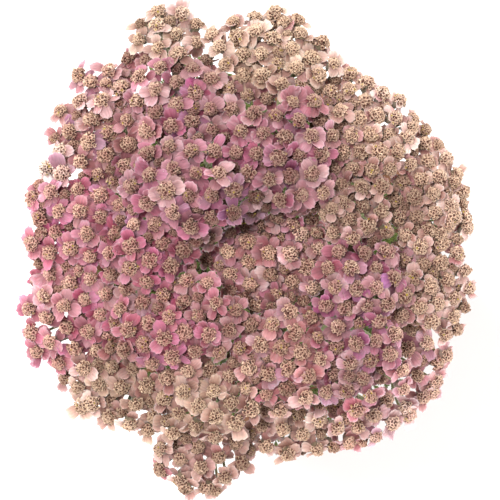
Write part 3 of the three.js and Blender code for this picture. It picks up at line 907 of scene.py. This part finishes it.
def floret_shape():
    """One floret, one unit to the tips of its lobes: a cup whose lip is a ring that goes out to a lobe at
    every second point, with a ring of half as many points round the throat, and a foot below. Gives its
    points, its faces and how light each point is painted: painted shade that darkens towards the throat and
    the foot, and painted light on the lobes' tips."""
    throats = LIP_POINTS // 2
    lip = np.arange(LIP_POINTS)
    ring = circle(LIP_POINTS)
    radius, height, light = np.where((lip % 2 == 0)[:, None], LOBE, NOTCH).T
    outer = np.column_stack([ring * radius[:, None], height])
    inner = np.column_stack([ring[::2] * THROAT[0], np.full(throats, THROAT[1])])
    points = np.concatenate([outer, inner, [[0, 0, FOOT_LEVEL]], [[0, 0, HOLLOW_LEVEL]]])
    first, second = lip[::2], (lip[::2] + 2) % LIP_POINTS
    near, after = LIP_POINTS + np.arange(throats), LIP_POINTS + (np.arange(throats) + 1) % throats
    foot = LIP_POINTS + throats
    faces = [
        np.stack([first, first + 1, near], axis=-1),
        np.stack([first + 1, after, near], axis=-1),
        np.stack([first + 1, second, after], axis=-1),
        end_fan(lip, foot, upper=False),
        end_fan(near, foot + 1, upper=True),
    ]
    return points, faces, np.concatenate([light, np.full(throats, THROAT[2]), [0, 0]])


def make_florets(index, material):
    """The florets of a head. In each disc they follow a sunflower spiral over a flattened dome, whose
    height falls with the square of the distance out, and lean outwards with it."""
    own, flower, middle, axes, spin, scale = flowers_of(index)
    count = bpy.context.scene.yarrow.sizes.florets
    number = np.arange(count)
    item = flower[:, None] * count + number
    share = np.sqrt((number + 0.5) / count)
    radius = size("disc_radius") * share * (scale * varied(flower, "disc_width"))[:, None]
    height = size("disc_height") * varied(flower, "disc_height")[:, None] * (1 - share**2)
    angle = number * GOLDEN_ANGLE + spin[:, None] + varied(item, "floret_place")
    outward = np.stack([np.cos(angle), np.sin(angle), np.zeros_like(angle)], axis=-1)
    local = outward * radius[..., None]
    local[..., 2] = height + varied(item, "floret_rise")
    place = stamped(local, axes, middle)
    lean = share * DISC_LEAN
    facing = outward * np.sin(lean)[:, None]
    facing[..., 0] += varied(item, "floret_tilt_east")
    facing[..., 1] += varied(item, "floret_tilt_north")
    facing[..., 2] = np.cos(lean)
    facing = unit(np.einsum("fnk,fkx->fnx", facing, axes))
    turn = varied(item, "floret_turn")
    across = np.stack([np.cos(turn), np.sin(turn), np.full_like(turn, ACROSS_RISE)], axis=-1)
    own_axes = square_axes(facing, across)
    reach = size("floret_radius") * varied(item, "floret_scale") * scale[:, None]

    shape, faces, light = floret_shape()
    corner = item[..., None] * len(light) + np.arange(len(light))
    ragged = np.stack([varied(corner, f"ragged_{axis}") for axis in "xyz"], axis=-1)
    shape = (shape + ragged * (light > 0)[:, None]) * reach[..., None, None]
    ripe = varied(item, "ripe_floret") < RIPE_FLORETS
    ripe = ripe & (varied(flower, "ripe_flower") < RIPE_FLOWERS)[:, None]
    ripe = ripe[..., None] & (light == 0)
    shape[..., 2] += ripe * RIPE_RISE
    points = stamped(shape, own_axes, place).reshape(-1, 3)
    # The discs take the painted light and shade of their flowers and heads, up to a cap on the painted
    # light.
    tone_and_painted_light = np.minimum(FLOWERS["tone_and_painted_light"][own] * head_mean(own, column("light")), DISC_PAINTED_LIGHT_CAP)[:, None, None]
    warm = flower_tints(own)[:, None] * WARM_GAIN
    lobe = mixed_colour(paint("floret") * tone_and_painted_light, warm, varied(item, "floret_warmth"))
    lobe = shaded(lobe, varied(item, "floret_light"))
    # Each point goes from the throat's colour to the lobe's by its painted lightness: painted shade in the
    # throat.
    tint = mixed_colour(paint("throat"), lobe[..., None, :], light * varied(corner, "floret_mottle"))
    tint = np.where(ripe[..., None], paint("anther"), tint)
    faces = repeated(faces, item.size, len(light))
    head_piece(index, "florets", "flower", "head", points, faces, material, tint=tint.reshape(-1, 3))


def make_petals(index, material):
    """The petals of a head. Each is a grid of rows s from base to tip and columns t across. Its half width
    grows as a sine to its full value, its length is cut to three teeth, its sides cup and fold, and it
    twists, arches and curls towards its tip."""
    head = HEADS[index]
    own, flower, middle, axes, spin, scale = flowers_of(index)
    petals = head["petals"]
    item = flower[:, None] * MOST_PETALS + np.arange(petals)
    angle = spin[:, None] + (np.arange(petals) + 0.5) * 2 * np.pi / petals
    angle = angle + varied(item, "petal_place")

    s, t = np.meshgrid(PETAL_ROWS, PETAL_COLUMNS, indexing="ij")
    teeth = 1 - TEETH_DEPTH * (1 - np.abs(np.cos(TEETH_WAVE * t)))
    outline = teeth * (1 - SHOULDER * np.abs(t) ** SHOULDER_POWER)
    growth = np.sin(np.pi / 2 * np.minimum(1, s / FULL_BREADTH_AT))
    breadth = BASE_BREADTH + (1 - BASE_BREADTH) * growth
    scale = scale[:, None]
    reach = (head["reach"] * varied(item, "petal_reach") * scale)[..., None, None]
    width = size("petal_width") * varied(item, "petal_width") * scale * head["reach"] / USUAL_REACH
    rise = PETAL_SINK + PETAL_LIFT * varied(item, "petal_lift") ** 2
    twist = PETAL_TWIST * (varied(item, "petal_twist") - varied(item, "petal_untwist"))
    bends = [varied(item, f"petal_{name}") for name in ("arch", "cup", "fold", "curl")]
    width, rise, twist, arch, cup, fold, curl = (v[..., None, None] for v in (width, rise, twist, *bends))
    x = PETAL_ROOT + (reach - PETAL_ROOT) * s * outline
    y = width * breadth * t
    z = rise * (reach - PETAL_ROOT) * s - arch * s**2 + cup * t**2 * s + twist * y * s
    z = z + fold * np.abs(t) * s + curl * (s**4 - s**2)
    z = z + PETAL_PLEAT * np.cos(TEETH_WAVE * t) * s

    faces, inside = pillow_faces(*s.shape)
    upper = np.stack([x, y, z], axis=-1).reshape(*item.shape, -1, 3)
    lower = upper[..., inside, :] - np.array([0, 0, size("petal_thickness")])
    local = np.concatenate([upper, lower], axis=-2)
    cos, sin = np.cos(angle), np.sin(angle)
    turn = np.stack([np.stack([cos, sin], -1), np.stack([-sin, cos], -1)], axis=-2)
    along = np.einsum("fpkc,fcx->fpkx", turn, axes[:, :2])
    facing = np.broadcast_to(axes[:, None, 2:], along[..., :1, :].shape)
    origin = middle[:, None] + axes[:, None, 2] * varied(item, "petal_drop")[..., None]
    points = stamped(local, np.concatenate([along, facing], axis=-2), origin).reshape(-1, 3)

    pale = paint("pale")
    pinkness = head_mean(own, [head["tint"] not in ("tan", "cream") for head in HEADS])[:, None]
    pink, lilac, faded = (varied(flower, f"{name}_flower")[:, None] for name in ("pink", "lilac", "pale"))
    to_pink = TURN_TO_PINK * pink**5 * varied(item, "pink_petal")
    to_lilac = pinkness * lilac**2 * TURN_TO_LILAC * varied(item, "lilac_petal")
    to_pale = faded**3 * PALE_FLOWERS + PALE_PETALS * varied(item, "pale_petal") ** 2
    tint = mixed_colour(flower_tints(own)[:, None], paint("pink"), to_pink)
    tint = mixed_colour(mixed_colour(tint, paint("lilac"), to_lilac), pale, to_pale)
    # Each petal's own lightness, times its painted shade by how low it drops.
    tint = shaded(tint, varied(item, "petal_light") * varied(item, "petal_depth_shade"))
    out, sideways = (np.concatenate([grid.ravel(), grid.ravel()[inside]]) for grid in (s, t))
    rim = np.maximum(out**3, np.abs(sideways) ** 3 * out)
    # Petals are painted darker towards their bases, as painted shade where they meet the discs.
    tint = shaded(tint[..., None, :], BASE_PAINTED_LIGHT + (1 - BASE_PAINTED_LIGHT) * out)
    tint = mixed_colour(tint, pale, RIM_FADE * rim)
    flat = np.stack([sideways / 2 + 0.5, out], axis=-1)
    uv = np.broadcast_to(flat, (*item.shape, *flat.shape)) + varied(item, "petal_shift")[..., None, None]
    faces = repeated([faces], item.size, local.shape[-2])
    maps = {"tint": tint.reshape(-1, 3), "uv": uv.reshape(-1, 2)}
    piece = head_piece(index, "petals", "flower", "head", points, faces, material, **maps)
    piece.data.set_sharp_from_angle(angle=PETAL_CREASE)


def make_cups(index, material):
    """The green cup under each small flower of a head, turned from a profile, and the stalk that carries
    it. A stalk is a tube along a cubic curve, from the top of the stem out and up to the cup."""
    own, flower, middle, axes, _, _ = flowers_of(index)
    shape, faces = turned(CUP_PROFILE, CUP_SIDES)
    cups = stamped(np.broadcast_to(shape, (len(flower), *shape.shape)), axes, middle)
    # The cups are painted dark as painted shade under the flowers, and their tops take the throats' painted
    # shade.
    under = (paint("green") + flower_tints(own)[:, None]) * CUP_PAINTED_SHADE
    cup_tint = np.where((shape[:, 2] > CUP_RIM)[:, None], paint("throat"), under)
    cup_tint = cup_tint * varied(flower, "cup_light")[:, None, None]

    hub, axis = stem_hub(index)
    end = middle - axes[:, 2] * CUP_FOOT
    spreading = (end - hub) * STALK_SPREAD
    rank = varied(flower, "stalk_rank")[:, None]
    start = hub + axis * (rank - 1) + spreading * STALK_ENDS_APART
    start_pull = start + axis * STALK_PULL_UP + spreading
    path = bezier(start, start_pull, end - axes[:, 2] * STALK_PULL_DOWN, end, STALK_RINGS)
    radius = np.linspace(STALK_FOOT_RADIUS, size("stalk_radius"), STALK_RINGS) * np.ones((len(flower), 1))
    rings = tube_rings(path, radius, STALK_SIDES, axes[:, 0])
    stalks = rings.reshape(len(flower), -1, 3)
    stalk_light = varied(flower, "stalk_light")[:, None, None] * np.ones((1, stalks.shape[1], 1))
    stalk_tint = paint("green") * stalk_light

    faces = repeated(faces, len(flower), len(shape))
    stalk_faces = repeated(tube_faces(STALK_RINGS, STALK_SIDES), len(flower), stalks.shape[1])
    points, faces = joined([(cups.reshape(-1, 3), faces), (stalks.reshape(-1, 3), stalk_faces)])
    tint = np.concatenate([cup_tint.reshape(-1, 3), stalk_tint.reshape(-1, 3)])
    head_piece(index, "stalks", "stem", "head", points, faces, material, tint=tint)


# Stems and leaves.

STEM_STEPS = 22
ROOT_STEPS = 4
STEM_TIP = 3
STEM_SIDES = 16
STEM_SHARE = 0.86
STEM_RIBS = 8
RIB_DEPTH = 0.07
STEM_GREEN = np.array(0.6)
STEM_RISE = 150
STEM_FOOT_LIGHT, STEM_LIGHT_GAIN = 0.7, 0.35

# The leaves' blades: rings at two places along each, and their girth there. Then the leaf's outline, and
# where the teeth sit on a side rib, how they lean and how long they are.
BLADE_PLACES = np.array([0.3, 0.68])
BLADE_GIRTHS = np.array([1.0, 0.72])
BLADE_FLATNESS = 0.28
BLADE_SIDES = 4
BLADE_POINTS = 10
SIDE_BLADE_WIDTH, TOOTH_WIDTH, TIP_WIDTH = 0.62, 0.56, 0.7
FIRST_PAIR = 0.6
OUTLINE_START, OUTLINE_SPAN = 0.2, 0.68
TOOTH_PLACES = np.array([0.25, 0.48, 0.7])
TOOTH_SWEEP = 0.8
TOOTH_LENGTH, TOOTH_TAPER = 0.36, 1.15
LEAF_STEPS = 49
LEAF_STRIDE = 4
PAIR_STRIDE = 40
RIB_STRIDE = 4
RIB_SIDES = 6
RIB_START, RIB_END = 0.09, 0.04


def stem_path(index):
    """A stem's middle line, from its root straight up out of the soil, then along a cubic curve that ends
    with its head's lean. Gives the whole line, and the curve alone."""
    hub, axis = stem_hub(index)
    foot = np.append(HEAD_XY[index] * STEM_FOOT_SHARE, SOIL_LEVEL + STEM_COLLAR)
    rise = (hub[2] - foot[2]) / 2
    curve = bezier(foot, foot + [0, 0, rise], hub - axis * rise, hub, STEM_STEPS)
    root = foot - [0, 0, STEM_COLLAR + STEM_ROOT_DEPTH]
    below = np.linspace(root, foot, ROOT_STEPS)[:-1]
    return np.concatenate([below, curve, [hub + axis * STEM_TIP]]), curve


def make_stem(index, material):
    """A ribbed, tapering stem, a little slimmer than the frame's: a tube whose radius ripples round it."""
    path, _ = stem_path(index)
    radius = np.linspace(STEM_FOOT_RADIUS, STEM_TOP_RADIUS, len(path)) * STEM_SHARE
    outward = np.append(HEAD_OUTWARD[index], 0)
    ripple = 1 + RIB_DEPTH * np.cos(STEM_RIBS * 2 * np.pi * np.arange(STEM_SIDES) / STEM_SIDES)
    points = tube_rings(path, radius, STEM_SIDES, outward, ripple[:, None]).reshape(-1, 3)
    height = np.clip((points[:, 2:] - SOIL_LEVEL) / STEM_RISE, 0, 1)
    green = mixed_colour(paint("green"), paint("leaf"), STEM_GREEN)
    tint = green * (STEM_FOOT_LIGHT + STEM_LIGHT_GAIN * height) * varied(index, "stem_light")
    faces = tube_faces(len(path), STEM_SIDES)
    head_piece(index, "stalk", "stem", "stem", points, faces, material, tint=tint)


def leaf_rib(root, heading, leaf, steps):
    """Places along a leaf's rib and its axes there: its angle falls evenly from rise to tip, and each place
    is the sum of the steps before it."""
    angle = np.radians(np.linspace(leaf["rise"], leaf["tip"], steps))
    up = np.array([0, 0, 1.0])
    forward = np.cos(angle)[:, None] * heading + np.sin(angle)[:, None] * up
    side = np.broadcast_to(np.cross(up, heading), forward.shape)
    length = leaf["length"] / (steps - 1)
    place = root + np.concatenate([np.zeros((1, 3)), np.cumsum(forward[:-1] * length, axis=0)])
    return place, np.stack([forward, side, np.cross(forward, side)], axis=-2)


def blades(start, end, width, normal):
    """Narrow pointed blades: diamonds in section, widest a third of the way along, and flat to their
    normal. Gives points and faces."""
    along = end - start
    side = np.cross(normal, unit(along))
    across = np.stack([side, normal * BLADE_FLATNESS, -side, -normal * BLADE_FLATNESS], axis=-2)
    place = start[:, None] + along[:, None] * BLADE_PLACES[:, None]
    rings = place[:, :, None] + across[:, None] * (width[:, None] * BLADE_GIRTHS)[..., None, None]
    points = np.concatenate([rings.reshape(len(start), -1, 3), start[:, None], end[:, None]], axis=1)
    ring = np.arange(BLADE_SIDES)
    root, tip = BLADE_POINTS - 2, BLADE_POINTS - 1
    faces = [
        wrapped_band(len(BLADE_PLACES), BLADE_SIDES)[:, ::-1],
        end_fan(ring, root, upper=True),
        end_fan(ring + BLADE_SIDES, tip, upper=False),
    ]
    return points.reshape(-1, 3), repeated(faces, len(start), BLADE_POINTS)


def leaf_blades(place, axes, leaf, number):
    """The start, end, half width and normal of each blade of a leaf: pairs of side ribs that sweep forward,
    as long as a sine of their place makes them, each with pairs of narrower teeth, and a longer one at the
    tip."""
    pairs = leaf["pairs"]
    share = (np.arange(pairs) + FIRST_PAIR) / pairs
    at = np.round(share * (len(place) - 1)).astype(int)
    hand = np.array([-1, 1])
    item = (number * PAIR_STRIDE + np.arange(pairs))[:, None] * 2 + (hand > 0)
    outline = np.sin(np.pi * (OUTLINE_START + OUTLINE_SPAN * share))
    reach = leaf["width"] * outline[:, None] * varied(item, "blade_length")
    forward, side, over = axes[at][:, 0], axes[at][:, 1], axes[at][:, 2]
    direction = forward[:, None] * LEAF_SWEEP + side[:, None] * hand[:, None]
    direction = direction + over[:, None] * varied(item, "blade_rise")[..., None]
    start = np.broadcast_to(place[at][:, None], direction.shape)
    end = start + direction * reach[..., None]
    flat = unit(np.cross(np.cross(direction, over[:, None]), direction))

    root = start[..., None, None, :] + (end - start)[..., None, None, :] * TOOTH_PLACES[:, None, None]
    across = np.cross(flat, unit(direction))
    tooth = unit(direction)[..., None, None, :] * TOOTH_SWEEP + across[..., None, None, :] * hand[:, None]
    length = (TOOTH_LENGTH * (TOOTH_TAPER - TOOTH_PLACES))[:, None] * np.ones(2)
    point = root + tooth * (reach[..., None, None] * length)[..., None]
    normals = np.broadcast_to(flat[..., None, None, :], point.shape)
    tip = place[-1:]
    starts = [start.reshape(-1, 3), np.broadcast_to(root, point.shape).reshape(-1, 3), tip]
    ends = [end.reshape(-1, 3), point.reshape(-1, 3), tip + axes[-1:, 0] * leaf["width"] * LEAF_SWEEP]
    widths = [np.full(start.size // 3, SIDE_BLADE_WIDTH), np.full(point.size // 3, TOOTH_WIDTH), [TIP_WIDTH]]
    facing = [flat.reshape(-1, 3), normals.reshape(-1, 3), axes[-1:, 2]]
    return [np.concatenate(group) for group in (starts, ends, widths, facing)]


def make_leaves(index, material):
    """The feathery leaves of one stem, the large ones on outer stems only: an arched rib, a tapering tube,
    and its blades."""
    _, curve = stem_path(index)
    leaves = [dict(leaf, turn=leaf["turn"] + np.degrees(index * GOLDEN_ANGLE)) for leaf in SMALL_LEAVES]
    leaves += LEAVES if HEAD_REACH[index] > OUTER_HEAD else []
    parts = []
    for order, leaf in enumerate(leaves):
        turn = np.radians(leaf["turn"])
        ox, oy = HEAD_OUTWARD[index]
        heading = np.array([ox * np.cos(turn) - oy * np.sin(turn), ox * np.sin(turn) + oy * np.cos(turn), 0])
        root = curve[int(round(leaf["at"] * (len(curve) - 1)))] + heading * LEAF_SUNK
        place, axes = leaf_rib(root, heading, leaf, LEAF_STEPS)
        spine = place[::RIB_STRIDE]
        radius = np.linspace(RIB_START, RIB_END, len(spine)) * leaf["width"]
        rib = tube_rings(spine, radius, RIB_SIDES, axes[0, 1]).reshape(-1, 3)
        parts.append((rib, tube_faces(len(spine), RIB_SIDES)))
        parts.append(blades(*leaf_blades(place, axes, leaf, index * LEAF_STRIDE + order)))
    points, faces = joined(parts)
    blade = np.arange(len(points)) // BLADE_POINTS
    tint = paint("leaf") * varied(blade, "leaf_light")[:, None]
    head_piece(index, "leaves", "stem", "stem", points, faces, material, tint=tint)


# Pot and soil, as radii and heights.

POT_SIDES = 84
POT_STEP = 4
POT_PROFILE = np.array([
    [0, 0], [38.5, 0], [40.2, 0.5], [41.0, 1.8], [52.6, 77.0], [53.6, 77.6], [55.4, 78.2], [56.2, 79.6],
    [59.7, 102.4], [59.4, 104.2], [58.0, 105.0], [53.4, 105.0], [52.0, 104.4], [51.3, 103.0],
    [37.5, 8.4], [35.8, 7.0], [0, 7],
])
THROW_DEPTH, THROW_PITCH, THROW_FROM = 0.12, 0.9, 42
POT_CREASE = np.radians(40)
DRAINS = 4
DRAIN_RING = 25
DRAIN_SIDES = 32
DRAIN_PROFILE = np.array([[0, -3.0], [4.5, -3.0], [4.5, 12.0], [0, 12.0]])
SOIL_RADIUS = 47.6
SOIL_MOUND = 3.4
SOIL_SIDES = 96
SOIL_RINGS = 37
SOIL_FOOT = [[0, 8], [37, 8], [SOIL_RADIUS - 2, SOIL_LEVEL - 6]]
# Two swells of the soil: how high each is, its pitch, how far it bends and how fast.
SWELLS = ((0.5, 0.7, 1.3, 0.5), (0.4, 1.1, 1.7, 0.6))


def finer(profile, step):
    """The same profile with points no further apart than a step."""
    parts = [profile[:1]]
    for start, end in zip(profile[:-1], profile[1:]):
        count = max(1, int(np.ceil(np.hypot(*(end - start)) / step)))
        parts.append(start + (end - start) * (np.arange(1, count + 1) / count)[:, None])
    return np.concatenate(parts)


def make_pot(material):
    """The clay pot: a turned profile with faint throwing rings, a sine of the height, and the holes that
    are cut through its floor."""
    profile = finer(POT_PROFILE, POT_STEP)
    radius, height = profile.T
    rings = THROW_DEPTH * np.sin(height * THROW_PITCH) * (radius > THROW_FROM)
    points, faces = turned(np.column_stack([radius + rings, height]), POT_SIDES)
    pot = new_piece("clay_pot", points, faces, material)
    hole, hole_faces = turned(DRAIN_PROFILE, DRAIN_SIDES)
    angle = (np.arange(DRAINS) + 0.5) * 2 * np.pi / DRAINS
    places = DRAIN_RING * np.stack([np.cos(angle), np.sin(angle), 0 * angle], axis=-1)
    cutter = new_piece("drain_cutter", *joined([(hole + place, hole_faces) for place in places]), material)
    cut = pot.modifiers.new("drains", "BOOLEAN")
    cut.operation, cut.solver, cut.object = "DIFFERENCE", "EXACT", cutter
    drained = bpy.data.meshes.new_from_object(pot.evaluated_get(bpy.context.evaluated_depsgraph_get()))
    pot.modifiers.clear()
    pot.data = drained
    bpy.data.objects.remove(cutter)
    drained.polygons.foreach_set("use_smooth", np.ones(len(drained.polygons), bool))
    drained.set_sharp_from_angle(angle=POT_CREASE)
    attach(pot, "clay", "pot")


def swell(along, across, height, pitch, bend, drift):
    """A sine that runs along one way and is bent by another sine across it."""
    return height * np.sin(along * pitch + bend * np.sin(across * drift))


def make_soil(material):
    """The soil: a mound turned on a fine polar grid, raised and sunk by bent sines and by crumbs."""
    radius = np.linspace(0, SOIL_RADIUS, SOIL_RINGS + 1)[:0:-1]
    mound = SOIL_LEVEL + SOIL_MOUND * (1 - (radius / SOIL_RADIUS) ** 2)
    top = [[0, SOIL_LEVEL + SOIL_MOUND]]
    points, faces = turned(np.concatenate([SOIL_FOOT, np.column_stack([radius, mound]), top]), SOIL_SIDES)
    x, y, z = points.T
    swells = swell(x, y, *SWELLS[0]) + swell(y, x, *SWELLS[1])
    number = np.arange(len(points))
    points[:, 2] = np.where(z > SOIL_LEVEL - 1, z + swells + varied(number, "crumb_height"), z)
    tint = paint("soil") * varied(number, "crumb_light")[:, None]
    soil = new_piece("earth", points, faces, material, tint=tint)
    attach(soil, "soil", "soil")


# Stage. The picture is PX_WIDE pixels wide, and the plant's axis stands at AXIS_PX in it.

PX_WIDE = 500
MM_PER_PX = 0.3
AXIS_PX = (247, 252)
RIM_LEVEL = 243
CAMERA_RISE = 1200
CLIP_NEAR, CLIP_FAR = 0.01, 20
SENSOR = 36
FLOOR_HALF = 4000
FLOOR_WHITE = (0.96, 0.96, 0.96, 1)
HORIZON_LIGHT = 3.0
ZENITH_LIGHT = 0.3
KEY_ENERGY = 2.9
KEY_WIDTH = np.radians(12)
KEY_TILT = np.radians([-10, -12, 0])


def make_camera():
    """A camera straight above, whose frame is 150 mm wide at the level of the outer heads."""
    data = bpy.data.cameras.new("camera")
    data.sensor_width = SENSOR
    data.lens = SENSOR * CAMERA_RISE / (PX_WIDE * MM_PER_PX)
    data.clip_start, data.clip_end = CLIP_NEAR, CLIP_FAR
    camera = bpy.data.objects.new("camera", data)
    x = (PX_WIDE / 2 - AXIS_PX[0]) * MM_PER_PX
    y = (AXIS_PX[1] - PX_WIDE / 2) * MM_PER_PX
    camera.location = np.array([x, y, RIM_LEVEL + CAMERA_RISE]) * MM
    bpy.context.scene.collection.objects.link(camera)
    bpy.context.scene.camera = camera


def make_floor():
    """A plain pale floor."""
    corners = FLOOR_HALF * np.array([[-1.0, -1, 0], [1, -1, 0], [1, 1, 0], [-1, 1, 0]])
    white = Nodes("floor", roughness=0.9).coloured(FLOOR_WHITE)
    floor = new_piece("floor", corners, [np.arange(4)[None]], white)


def make_lights():
    """White light from all round, strongest near the horizon as in a light tent, and a soft key from the
    upper left."""
    world = bpy.data.worlds.new("studio")
    world.use_nodes = True
    tree = world.node_tree
    direction = tree.nodes.new("ShaderNodeTexCoord").outputs["Generated"]
    height = tree.nodes.new("ShaderNodeSeparateXYZ")
    tree.links.new(direction, height.inputs[0])
    strength = tree.nodes.new("ShaderNodeMapRange")
    tree.links.new(height.outputs["Z"], strength.inputs["Value"])
    set_range(strength, start=0, end=1, low=HORIZON_LIGHT, high=ZENITH_LIGHT)
    background = tree.nodes["Background"]
    background.inputs["Color"].default_value = (1, 1, 1, 1)
    tree.links.new(strength.outputs["Result"], background.inputs["Strength"])
    bpy.context.scene.world = world
    data = bpy.data.lights.new("key", "SUN")
    data.energy = KEY_ENERGY
    data.angle = KEY_WIDTH
    key = bpy.data.objects.new("key", data)
    key.rotation_euler = KEY_TILT
    bpy.context.scene.collection.objects.link(key)
    bpy.context.scene.view_settings.view_transform = "Standard"


# Operators, one for each group of pieces.


def for_every_head(material, *makes):
    """Makes pieces of one material head by head."""
    for index in range(len(HEADS)):
        for make in makes:
            make(index, material)


class YARROW_OT_stage(bpy.types.Operator):
    """Makes the floor, the lights and the camera"""

    bl_idname = "yarrow.stage"
    bl_label = "Stage"

    def execute(self, context):
        make_floor()
        make_lights()
        make_camera()
        return {"FINISHED"}


class YARROW_OT_florets(bpy.types.Operator):
    """Makes the discs of florets of every head"""

    bl_idname = "yarrow.florets"
    bl_label = "Florets"

    def execute(self, context):
        for_every_head(floret_material(), make_florets)
        return {"FINISHED"}


class YARROW_OT_petals(bpy.types.Operator):
    """Makes the petals of every head"""

    bl_idname = "yarrow.petals"
    bl_label = "Petals"

    def execute(self, context):
        for_every_head(petal_material(), make_petals)
        return {"FINISHED"}


class YARROW_OT_stalks(bpy.types.Operator):
    """Makes the cups and stalks under the small flowers"""

    bl_idname = "yarrow.stalks"
    bl_label = "Cups and stalks"

    def execute(self, context):
        for_every_head(green_material(), make_cups, make_stem)
        return {"FINISHED"}


class YARROW_OT_leaves(bpy.types.Operator):
    """Makes the feathery leaves of the stems"""

    bl_idname = "yarrow.leaves"
    bl_label = "Leaves"

    def execute(self, context):
        for_every_head(leaf_material(), make_leaves)
        return {"FINISHED"}


class YARROW_OT_pot(bpy.types.Operator):
    """Makes the clay pot and its soil"""

    bl_idname = "yarrow.pot"
    bl_label = "Pot and soil"

    def execute(self, context):
        make_pot(clay_material())
        make_soil(soil_material())
        return {"FINISHED"}


class YARROW_PT_panel(bpy.types.Panel):
    """Lists the steps that build the plant"""

    bl_idname = "YARROW_PT_panel"
    bl_label = "Yarrow"
    bl_space_type = "VIEW_3D"
    bl_region_type = "UI"
    bl_category = "Yarrow"

    def draw(self, context):
        for operator in OPERATORS:
            self.layout.operator(operator.bl_idname)


OPERATORS = (
    YARROW_OT_stage,
    YARROW_OT_florets,
    YARROW_OT_petals,
    YARROW_OT_stalks,
    YARROW_OT_leaves,
    YARROW_OT_pot,
)
CLASSES = (YarrowColours, YarrowSizes, YarrowSettings, *OPERATORS, YARROW_PT_panel)


def register():
    for cls in CLASSES:
        bpy.utils.register_class(cls)
    bpy.types.Scene.yarrow = PointerProperty(type=YarrowSettings)


def unregister():
    del bpy.types.Scene.yarrow
    for cls in reversed(CLASSES):
        bpy.utils.unregister_class(cls)


def main():
    register()
    bpy.ops.yarrow.stage()
    bpy.ops.yarrow.florets()
    bpy.ops.yarrow.petals()
    bpy.ops.yarrow.stalks()
    bpy.ops.yarrow.leaves()
    bpy.ops.yarrow.pot()


if __name__ == "__main__":
    main()
